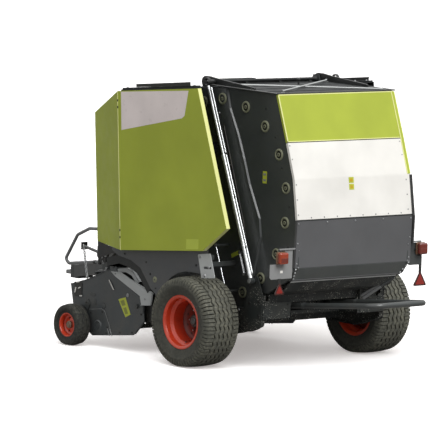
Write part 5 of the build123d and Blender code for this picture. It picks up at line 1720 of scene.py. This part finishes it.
    def rotor_star(self) -> Shape:
        """Feed rotor with its hooked star plates."""
        shape = Shape(Coat.ROLLER)
        rx, rz = self.rotor
        shape.pin((rx, -660, rz), (rx, 688, rz), 30, 2, 28, Coat.CAST)
        shape.pin((rx, -610, rz), (rx, 610, rz), 69, 2, 36)
        for i in range(11):
            y = 550 * (i - 5) / 5
            start = math.radians(15 * (i % 6))
            points = []
            for arm in range(4):
                for reach, spread in ((72, -0.55), (150, -0.16), (199, 0.0), (150, 0.1), (72, 0.45)):
                    points.append(polar(self.rotor, reach, start + math.pi / 2 * arm + spread))
            shape.slab(points, y - 5, y + 5)
        return shape

    def arms(self) -> Shape:
        """Left gauge wheel arm: a cranked plate, its spindle, adjusting holes and a draw pin."""
        shape, face = Shape(), self.side_y + 8
        arm = flat(bends([(1474, 474), (1438, 420), (1525, 203), (1565, 184), (1603, 203), (1607, 247)], 16, 4, True))
        shape.slab(arm, face, face + 12, 2)
        shape.pin((1565, face + 12, 225), (1565, 1084, 225), 13.9, finish=Coat.ZINC)
        shape.pin((1565, face + 10, 225), (1565, face + 28, 225), 28)
        shape.bolts([(1480, face + 12, 430), (1500, face + 12, 380)], 7, Coat.BLACK)
        return shape

    def build(self, shop: Workshop) -> None:
        """Make the pickup's pieces."""
        self.sides().both().place(shop, "pickup_side_plates", "pickup", "dark_paint", ["pickup_sides"])
        self.trims().both().place(shop, "pickup_trims", "pickup", "zinc_plate")
        self.straps().both().place(shop, "pickup_lift_straps", "pickup", "light_grey_paint", ["pickup_straps"])
        self.bands().place(shop, "stripper_bands", "pickup", "roller_steel", ["pickup_bands"])
        self.tines().place(shop, "tine_reel", "reel", "dark_paint", ["pickup_reel"])
        self.guard().place(shop, "crop_guard_fingers", "crop_guard", "dark_paint", ["wind_guard"])
        self.rotor_star().place(shop, "feed_rotor_stars", "rotor", "dark_paint", ["feed_rotor"])
        self.arms().both().place(shop, "gauge_wheel_arms", "pickup", "dark_paint", ["gauge_arms"])


# ---- guard hoops, drive and front end
@dataclass
class FrontGuards:
    """Tube hoops beside the pickup with their posts, outriggers, chains, springs and hoses."""

    y: float = 896.0
    post_x: float = 1396.0

    def hoops(self) -> Shape:
        """Left hoop with its foot plates."""
        shape, y = Shape(), self.y
        loop = [(1104, 726, 1120), (1104, y, 1120), (1552, y, 1092), (1722, y, 1020), (1887, y, 787), (1842, y, 746),
            (1388, y, 806)]
        shape.pipe(loop, 15, 44, 20, Coat.HOOP, 10)
        shape.block((1079, 722, 1085), (1129, 732, 1155), 2)
        shape.bolts([(1092, 732, 1096), (1116, 732, 1144)], 8)
        shape.pin((1450, y, 797), (1480, y, 793), 18, 3, finish=Coat.BLACK)
        return shape

    def posts(self) -> Shape:
        """Left post, its clamp, the outrigger's twin bars with an end plate, a spring and hoses."""
        shape, y, x = Shape(Coat.BLACK), self.y, self.post_x
        shape.pin((x, y, 780), (x, y, 1128), 17, 4)
        shape.block((x - 30, y - 26, 848), (x + 28, y + 16, 905), 4)
        for off in (-15, 15):
            shape.pin((1318, y + off - 4, 870 + off * 0.6), (1524, y + 80 + off, 938 + off * 0.6), 10, finish=Coat.HOOP)
        shape.block((1514, y + 50, 908), (1530, y + 116, 976), 3)
        shape.pin((1290, y + 2, 866), (1322, y + 8, 876), 15, finish=Coat.ZINC)
        shape.bolts([(x, y + 16, 888), (1345, y + 10, 846), (1338, y + 10, 816)], 8)
        shape.block((1300, y - 27, 800), (x - 14, y + 12, 868), 5)
        shape.block((1276, y - 27, 742), (1352, y + 10, 812), 5, Coat.CHARCOAL)
        shape.bolts([(1290, y + 10, 756), (1330, y + 10, 800)], 8)
        coil = [(*polar((1420, y - 18), 15, math.tau * i / 6), 1000 - 3.2 * i) for i in range(72)]
        shape.pipe(coil, 3.4, 0, 6, Coat.ZINC)
        shape.pipe([(1110, 700, 1080), (1180, 800, 1010), (1262, y - 16, 930), (1310, y - 10, 850)], 10, 80,
            finish=Coat.HOSE)
        shape.pipe([(1110, 690, 1050), (1200, 780, 960), (1300, y - 22, 830), (1330, y - 16, 770)], 9, 80,
            finish=Coat.HOSE)
        shape.pipe([(1200, 720, 1040), (1280, y - 10, 1010), (1350, y, 900)], 7, finish=Coat.HOSE)
        shape.block((1120, 700, 1010), (1175, 760, 1075), 4)
        return shape

    def chains(self) -> Shape:
        """Left hanging chain of round links."""
        shape = Shape(Coat.ZINC)
        start, end = Vector((1500, 1002, 936)), Vector((1438, 1002, 655))
        count = 13
        step = (end - start) / count
        for i in range(count):
            middle = start + step * (i + 0.5)
            reach = step * 0.62
            across = Vector((9, 0, 2)) if i % 2 else Vector((0, 9, 0))
            ring = [middle - reach, middle - reach * 0.6 + across, middle + reach * 0.6 + across, middle + reach,
                middle + reach * 0.6 - across, middle - reach * 0.6 - across, middle - reach]
            shape.pipe(ring, 4.2, 6, 8, steps=2)
        shape.pin(start, start + Vector((10, 0, 22)), 4.5)
        return shape

    def build(self, shop: Workshop) -> None:
        """Make the guards' pieces."""
        self.hoops().both().place(shop, "front_guard_hoops", "frame", "light_grey_paint", ["guard_hoops"])
        self.posts().both().place(shop, "front_guard_posts", "frame", "dark_paint")
        self.chains().place(shop, "parking_chain", "frame", "zinc_plate")


@dataclass
class FrontEnd:
    """Net box lid, roof trims, drawbar fittings, gearbox, jack and the chain drive under the left hood."""

    roof_rear: Pair = (-215.0, 2494.0)
    slope: float = -0.09066
    drive_y: float = 704.3
    sprockets: tuple[tuple[int, float], ...] = ((110, 70.0), (130, 70.0), (150, 70.0), (170, 70.0), (190, 95.0),
        (-110, 95.0))

    def top(self, x: float) -> float:
        """Height of the hoods' top line."""
        return self.roof_rear[1] + self.slope * (x - self.roof_rear[0])

    def toothed(self, centre: Pair, radius: float) -> list[Pair]:
        """Outline of a chain wheel."""
        teeth = round(math.tau * radius / CHAIN_PITCH)
        line = []
        for i in range(teeth):
            for share, reach in ((-0.28, radius - 8), (-0.12, radius), (0.12, radius), (0.28, radius - 8)):
                line.append(polar(centre, reach, math.tau * (i + share) / teeth))
        return line

    def loop(self, first: Pair, second: Pair, r1: float, r2: float) -> list[Pair]:
        """Closed line round two chain wheels."""
        run = math.atan2(second[1] - first[1], second[0] - first[0])
        tilt = math.acos(max(-1.0, min(1.0, (r1 - r2) / math.dist(first, second))))
        line = []
        for centre, radius, start, end in ((first, r1, run + tilt, run + math.tau - tilt),
                (second, r2, run - tilt, run + tilt)):
            line += [polar(centre, radius, start + (end - start) * i / 14) for i in range(15)]
        return line

    def drive(self) -> Shape:
        """Chain wheels, their chains and the tensioners."""
        shape, y = Shape(Coat.CAST), self.drive_y
        wheels = [(roller_at(angle), radius) for angle, radius in self.sprockets]
        for centre, radius in wheels:
            shape.slab(self.toothed(centre, radius), y + 2, y + 12, 0.8)
            shape.pin((centre[0], y, centre[1]), (centre[0], y + 16, centre[1]), 32, 3, 28)
            shape.bolts([(centre[0], y + 16, centre[1])], 12)
        cross, big = (1225.0, 1236.0), wheels[4]
        shape.slab(self.toothed(cross, 62), 738, 748, 0.8)
        shape.slab(self.toothed(big[0], 112), 738, 748, 0.8)
        shape.pin((big[0][0], 716, big[0][1]), (big[0][0], 756, big[0][1]), 34, 3, 28)
        pairs = [(wheels[i], wheels[i + 1], y + 4, y + 11) for i in range(4)] + [((cross, 62.0), (big[0], 112.0), 740,
            747)]
        pairs.append((wheels[4], wheels[5], y + 13, y + 20))
        for (first, r1), (second, r2), low, high in pairs:
            outer, inner = self.loop(first, second, r1 + 5, r2 + 5), self.loop(first, second, r1 - 7, r2 - 7)
            shape.slab(outer, low, high, 1, Coat.CHAIN, holes=[inner])
        shape.block((900, 700, 1500), (940, 735, 1560), 3, Coat.CHARCOAL)
        shape.pin((905, 700, 1530), (905, 750, 1530), 24, 4, finish=Coat.DARK_PLASTIC)
        return shape

    def wall_trims(self) -> Shape:
        """Stiffeners, hoses and a grease bank on the outside of the frame's left wall."""
        shape = Shape(Coat.HOSE)
        for (x0, z0), (x1, z1) in (((150, 2440), (-20, 1990)), ((330, 1240), (880, 1240)), ((130, 1960), (520, 1960)),
                ((330, 1240), (130, 1960))):
            run = Vector((x1 - x0, 0, z1 - z0)).normalized()
            away = Vector((-run.z, 0, run.x)) * 22
            a, b = Vector((x0, 648, z0)), Vector((x1, 648, z1))
            shape.plate([a - away, b - away, b + away, a + away], (0, 24, 0), 3, Coat.CHARCOAL)
        shape.pipe([(60, 660, 2380), (-40, 690, 2100), (-330, 690, 1300), (-420, 690, 900)], 8, 120)
        shape.pipe([(90, 660, 2380), (-10, 690, 2080), (-300, 700, 1300), (-400, 700, 880)], 8, 120)
        shape.block((420, 650, 1560), (560, 700, 1640), 6, Coat.DARK_PLASTIC)
        for i in range(5):
            shape.pipe([(440 + 24 * i, 676, 1640), (440 + 24 * i, 690, 1750 + 20 * i), (600 + 20 * i, 690, 1900)], 3.5,
                sides=8)
        return shape

    def lid(self) -> Shape:
        """Lid of the net box: ribbed top and front, a grab handle and two rubber latches."""
        shape = Shape(Coat.ROOF)
        rear, front, foot = (978.0, self.top(960) + 14), (1450.0, 2171.0), (1412.0, 1640.0)
        shape.bent([rear, front, foot], 4, -900, 900, radius=26)
        tube = part_way(rear, front, 10 / math.dist(rear, front))
        axis = set_off([tube, front], 12)[0]
        shape.pin((axis[0], -890, axis[1]), (axis[0], 890, axis[1]), 9, bore=4.8)
        for y in (-600, -200, 200, 600):
            a, b = part_way(front, foot, 0.1), part_way(front, foot, 0.9)
            shape.plate([(a[0] + 1, y - 26, a[1]), (b[0] + 1, y - 26, b[1]), (b[0] + 1, y + 26, b[1]),
                (a[0] + 1, y + 26, a[1])], (4, 0, 0), 2)
            a, b = part_way(rear, front, 0.12), part_way(rear, front, 0.88)
            shape.plate([(a[0], y - 26, a[1]), (b[0], y - 26, b[1]), (b[0], y + 26, b[1]), (a[0], y + 26, a[1])],
                (0, 0, 5), 2)
        shape.pipe([(foot[0] + 4, -120, 1700), (foot[0] + 34, -120, 1700), (foot[0] + 34, 120, 1700),
            (foot[0] + 4, 120, 1700)], 8, 16, 12, Coat.ZINC)
        for y in (-760, 760):
            shape.block((foot[0] + 2, y - 16, 1660), (foot[0] + 18, y + 16, 1740), 4, Coat.DARK_PLASTIC)
        return shape

    def roof_trims(self) -> Shape:
        """Ribs, hinge covers and bolts of the roof between the hoods."""
        shape = Shape(Coat.ROOF)
        for y in range(-750, 751, 300):
            line = [(380, self.top(380) + 14), (930, self.top(930) + 14)]
            shape.bent(line, -5, y - 24, y + 24, 2)
        for sign in (1, -1):
            shape.bent([(-60, self.top(-60) + 13), (956, self.top(956) + 13)], -15, sign * 1000, sign * 1048, 3)
            shape.bolts([(x, sign * 1024, self.top(x) + 28) for x in range(0, 920, 152)], 8, facing=(0, 0, 1))
            shape.pipe([(350, sign * 820, self.top(350) + 24), (500, sign * 760, self.top(500) + 30),
                (940, sign * 740, self.top(940) + 26)], 9, 90, finish=Coat.HOSE)
        return shape

    def gearbox(self) -> Shape:
        """Cast gearbox with ribs, covers and bolts, its splined shaft, a guard cone and the cross drive."""
        shape = Shape(Coat.CASTING)
        shape.block((1120.3, -105, 1012), (1335, 105, 1188), 14)
        for x in (1160, 1210, 1290):
            shape.block((x - 5, -116, 1000), (x + 5, 116, 1196), 3)
        shape.pin((1225, -118, 1236), (1225, 118, 1236), 74, 6, 40)
        shape.block((1165, -90, 1180), (1285, 90, 1232), 8)
        for sign in (1, -1):
            shape.pin((1225, sign * 112, 1236), (1225, sign * 128, 1236), 58, 3, 36)
            shape.bolts([(x, sign * 126, z) for x, z in circle((1225, 1236), 48, 6)], 6, facing=(0, sign, 0))
        shape.pin((1225, 118, 1236), (1225, 800, 1236), 34, 3, 32, Coat.CHARCOAL)
        shape.pin((1225, 128, 1236), (1225, 700, 1236), 48, 3, 32, Coat.WORN_YELLOW)
        shape.pin((1335, 0, 1090), (1352, 0, 1090), 58, 3, 36)
        shape.bolts([(1352, y, z) for y, z in circle((0, 1090), 46, 6)], 6, facing=(1, 0, 0))
        spline = []
        for i in range(21):
            for share, reach in ((0.0, 15.6), (0.2, 17.4), (0.55, 17.4), (0.75, 15.6)):
                spline.append(polar((0, 1090), reach, math.tau * (i + share) / 21))
        shape.slab(spline, 1345, 1424.5, 0.5, Coat.CHROME, Lie.YZ)
        shape.turned([(60, 0), (72, 4), (88, 60), (92, 66), (86, 66), (68, 8), (60, 5)], (1340, 0, 1090), 40,
            Coat.DARK_PLASTIC, (1, 0, 0))
        return shape

    def drawbar_fittings(self) -> Shape:
        """Welded gussets, hose rack, safety chain, bolts and a wear ring at the eye."""
        shape = Shape()
        for sign in (1, -1):
            shape.slab([(1124, 1158), (1250, 1140), (1250, 1062), (1124, 1050)], sign * 466, sign * 472, 2)
            shape.bolts([(x, sign * 472, z) for x in (1146, 1210) for z in (1078, 1126)], 9, facing=(0, sign, 0))
        shape.block((2560, -96, 560), (2700, 96, 568), 2)
        shape.pipe([(2300, -30, 700), (2300, -30, 900), (2380, -30, 960), (2460, -30, 930)], 9, 40)
        for i in range(4):
            y = -36 + 24 * i
            shape.pipe([(1122, 60 * (i - 1.5), 1040), (1300, 40 * (i - 1.5), 985), (1800, y, 930), (2150, y, 800),
                (2330, y * 0.6, 925), (2450, y, 900), (2470, y, 800)], 8, 160, 10, Coat.HOSE)
            shape.pin((2469, y, 806), (2473, y, 740), 11, finish=Coat.ZINC)
        shape.turned([(26, 17), (50, 17), (55, 12), (55, -12), (50, -17), (26, -17)], (2900, 0, 520), finish=Coat.ZINC,
            axis=(0, 0, 1))
        for y in (-60, 60):
            shape.bolts([(x, y, 602) for x in (2715, 2785)], 12, facing=(0, 0, 1))
        return shape

    def jack(self) -> Shape:
        """Parking jack: outer tube, head with its crank, and a collar."""
        shape = Shape()
        shape.pin((2280, -232, 330), (2280, -232, 812), 31.7, 2, 32, bore=25.5)
        shape.pin((2280, -232, 800), (2280, -232, 842), 40, 6, 32)
        shape.pipe([(2280, -262, 822), (2280, -300, 822), (2280, -300, 942)], 8, 14, 14, Coat.ZINC)
        shape.pin((2280, -300, 940), (2280, -352, 940), 14, 5, finish=Coat.DARK_PLASTIC)
        shape.pin((2280, -232, 560), (2280, -232, 584), 38, 2, 32, bore=31)
        shape.bolts([(2262, -200, 620), (2298, -200, 620)], 8)
        return shape

    def box_trims(self) -> Shape:
        """Edge bolts and side stiffeners on the net box, and a row of bolts across its front."""
        shape = Shape()
        for sign in (1, -1):
            shape.bolts([(x, sign * 900, z) for x in (1090, 1340) for z in (1370, 1600, 1830, 2060)], 7, Coat.BLACK,
                (0, sign, 0))
            low, high = sorted((sign * 900, sign * 904))
            shape.slab([(1110, 1420), (1330, 1420), (1345, 2050), (1110, 2120)], low, high, 2)
        shape.bolts([(1385, y, 1480) for y in range(-800, 801, 200)], 7, Coat.BLACK, (1, 0, 0))
        return shape

    def build(self, shop: Workshop) -> None:
        """Make the front end's pieces."""
        self.drive().place(shop, "chain_drive", "frame", "zinc_plate", ["roller_sprockets"])
        self.wall_trims().place(shop, "left_wall_trims", "frame", "dark_paint")
        self.lid().place(shop, "net_box_lid_ribbed", "net_box_lid", "dark_paint", ["net_lid"])
        self.roof_trims().place(shop, "roof_ribs", "frame", "dark_paint")
        self.gearbox().place(shop, "gearbox_casting", "frame", "grey_paint", ["gearbox"])
        self.drawbar_fittings().place(shop, "drawbar_fittings", "frame", "dark_paint")
        self.jack().place(shop, "parking_jack", "frame", "dark_paint", ["jack_tube"])
        self.box_trims().place(shop, "net_box_trims", "frame", "dark_paint")


# ---- finishes of the frame's own nodes
SLOT_FINISH = {"lime_paint": Coat.LIME, "white_paint": Coat.WHITE, "grey_paint": Coat.GREY, "dark_paint": Coat.CHARCOAL,
    "light_grey_paint": Coat.LIGHT_GREY, "rim_paint": Coat.RIM, "tyre_rubber": Coat.TYRE, "chrome_plate": Coat.CHROME,
    "roller_steel": Coat.ROLLER, "zinc_plate": Coat.ZINC, "lamp_plastic": Coat.LENS,
    "reflector_plastic": Coat.REFLECTOR}
# The chamber's rollers take the black chaffed coat instead of bare steel: painted shade where they sit in the dark
# chamber.
NODE_FINISH = {"chassis_frame": Coat.CHAFFED, "axle_beam": Coat.CHAFFED, "gate_rollers": Coat.CHAFFED,
    "frame_rollers": Coat.CHAFFED, "feed_floor": Coat.CHAFFED, "pickup_tray": Coat.CHAFFED, "front_roof": Coat.ROOF,
    "hinge_tube": Coat.ROOF, "net_box": Coat.ROOF}


def dress_nodes(frame: dict) -> None:
    """Give each of the frame's own nodes the finish of its material slot, or the one NODE_FINISH sets, which for the
    rollers is painted shade.
    """
    for part in frame["record"]["subparts"]:
        node = frame["nodes"][part["node"]]
        node.data.materials.clear()
        finish = NODE_FINISH.get(part["node"], SLOT_FINISH[part["material_slot"]])
        node.data.materials.append(finish.value.build())


# ---- stage
@dataclass
class Studio:
    """Camera, lamps, sky and floor."""

    aim: Triple
    azimuth: float = 229.077
    elevation: float = 5.614
    roll: float = 1.658
    distance: float = 40.0
    lens_mm: float = 4482.0 / 447.0 * 36.0
    sensor_mm: float = 36.0
    aside: Pair = (0.4913, 0.2634)

    def camera(self) -> None:
        """Stand the camera off to the rear left."""
        a, e, roll = (math.radians(v) for v in (self.azimuth, self.elevation, self.roll))
        back = Vector((math.sin(a) * math.cos(e), -math.cos(a) * math.cos(e), math.sin(e)))
        level = (-back).cross(Vector((0, 0, 1))).normalized()
        up = level.cross(-back)
        right = math.cos(roll) * level + math.sin(roll) * up
        up = -math.sin(roll) * level + math.cos(roll) * up
        target = Vector(self.aim) - right * self.aside[0] - up * self.aside[1]
        data = bpy.data.cameras.new("camera")
        data.sensor_width = self.sensor_mm
        data.lens = self.lens_mm
        data.clip_start, data.clip_end = 1.0, 600.0
        eye = bpy.data.objects.new("camera", data)
        eye.matrix_world = Matrix.Translation(target + back * self.distance) @ Matrix((right, up,
            back)).transposed().to_4x4()
        bpy.context.scene.collection.objects.link(eye)
        bpy.context.scene.camera = eye

    def lamps(self, floor: bpy.types.Object) -> None:
        """Soft sun from behind, a broad low lamp for the near side, and a high sun for the floor alone.

        Args:
            floor: The floor, which only the high sun lights.
        """
        for name, towards, strength, spread, state in (("sun", (-0.7, 0.04, 0.7), 2.7, 40.0, "EXCLUDE"),
                ("fill", (-0.1, 0.95, 0.35), 0.27, 60.0, "EXCLUDE"), ("floor_sun", (-0.58, 0.5, 0.64), 3.7, 62.0,
                "INCLUDE")):
            data = bpy.data.lights.new(name, "SUN")
            data.energy, data.angle = strength, math.radians(spread)
            lamp = bpy.data.objects.new(name, data)
            lamp.rotation_euler = Vector(towards).to_track_quat("Z", "Y").to_euler()
            bpy.context.scene.collection.objects.link(lamp)
            group = bpy.data.collections.new(f"{name}_floor")
            group.objects.link(floor)
            group.collection_objects[0].light_linking.link_state = state
            lamp.light_linking.receiver_collection = group

    def sky(self) -> None:
        """White to the eye and to glossy metal, and a soft grey light on everything else."""
        world = bpy.data.worlds.new("studio")
        bpy.context.scene.world = world
        net = Net(world)
        net.tree.nodes.clear()
        rays = net.add("LightPath")
        rise = net.add("SeparateXYZ", {0: net.add("TexCoord").outputs["Generated"]}).outputs["Z"]
        plain, glossy = (net.add("MapRange", {"Value": rise, "From Min": low, "From Max": high, "To Min": least,
            "To Max": most}).outputs["Result"] for low, high, least, most in ((-0.1, 0.9, 0.24, 0.5),
            (-0.05, 0.5, 0.35, 1.0)))
        level = net.add("Mix", {0: rays.outputs["Is Glossy Ray"], 2: plain, 3: glossy}, data_type="FLOAT").outputs[0]
        seen = net.add("Mix", {0: rays.outputs["Is Camera Ray"], 2: level, 3: 1.0}, data_type="FLOAT").outputs[0]
        light = net.add("Background", {"Color": (1, 1, 1, 1), "Strength": seen})
        net.add("OutputWorld", {"Surface": light.outputs[0]})

    def floor(self) -> bpy.types.Object:
        """Make the pale floor, which keeps the machine's shadow and looks white past it."""
        material = bpy.data.materials.new("pale_floor")
        net = Net(material)
        net.tree.nodes.clear()
        rays = net.add("LightPath")
        lit = net.add("BsdfDiffuse", {"Color": (1, 1, 1, 1)})
        glow = net.add("Emission", {"Color": linear("#fff8f5"), "Strength": 0.36})
        seen = net.add("AddShader", {0: lit.outputs[0], 1: glow.outputs[0]})
        dim = net.add("BsdfDiffuse", {"Color": linear("#8c8a88")})
        choice = net.add("MixShader", {0: rays.outputs["Is Camera Ray"], 1: dim.outputs[0], 2: seen.outputs[0]})
        net.add("OutputMaterial", {"Surface": choice.outputs[0]})
        part = bmesh.new()
        bmesh.ops.create_grid(part, x_segments=1, y_segments=1, size=250.0)
        plane = to_scene("floor", part, [material])
        return plane

    def build(self) -> None:
        """Make the whole stage."""
        bpy.context.scene.view_settings.view_transform = "Standard"
        self.camera()
        self.lamps(self.floor())
        self.sky()


# ---- making
def main() -> None:
    """Build the machine's looks on its frame."""
    logging.basicConfig(level=logging.INFO, format="%(name)s: %(message)s")
    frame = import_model()
    hinge = next(joint for joint in frame["joints"] if joint["name"] == "tailgate_hinge")
    shop = Workshop(chamber_x=hinge["pos_m"][0] - HINGE[0] / 1000, ground_z=HINGE[1] / 1000 - hinge["pos_m"][2])
    Studio(aim=(shop.chamber_x, 0.0, 1.5087 - shop.ground_z)).build()
    dress_nodes(frame)
    for side in Side:
        MainWheel(side).build(shop)
        GaugeWheel(side).build(shop)
    for side in Side:
        SideHood(side).build(shop)
    RearLamp(Side.LEFT).build(shop)
    RearLamp(Side.RIGHT, y=802.0, z=1084.0, plate=((690, 936), (690, 1136), (838, 1136), (838, 936)), sign_y=815.0,
        sign_half=84.0, sign_top=884.0, sign_foot=747.0, stem_top=940.0).build(shop)
    for assembly in (Tailgate(), GateRoof(), Bearings(), LiftCylinders(), UnderFrame(), Skirts(), Pickup(),
            FrontGuards(), FrontEnd()):
        assembly.build(shop)
    LOG.info("%d pieces made", shop.count)


if __name__ == "__main__":
    main()
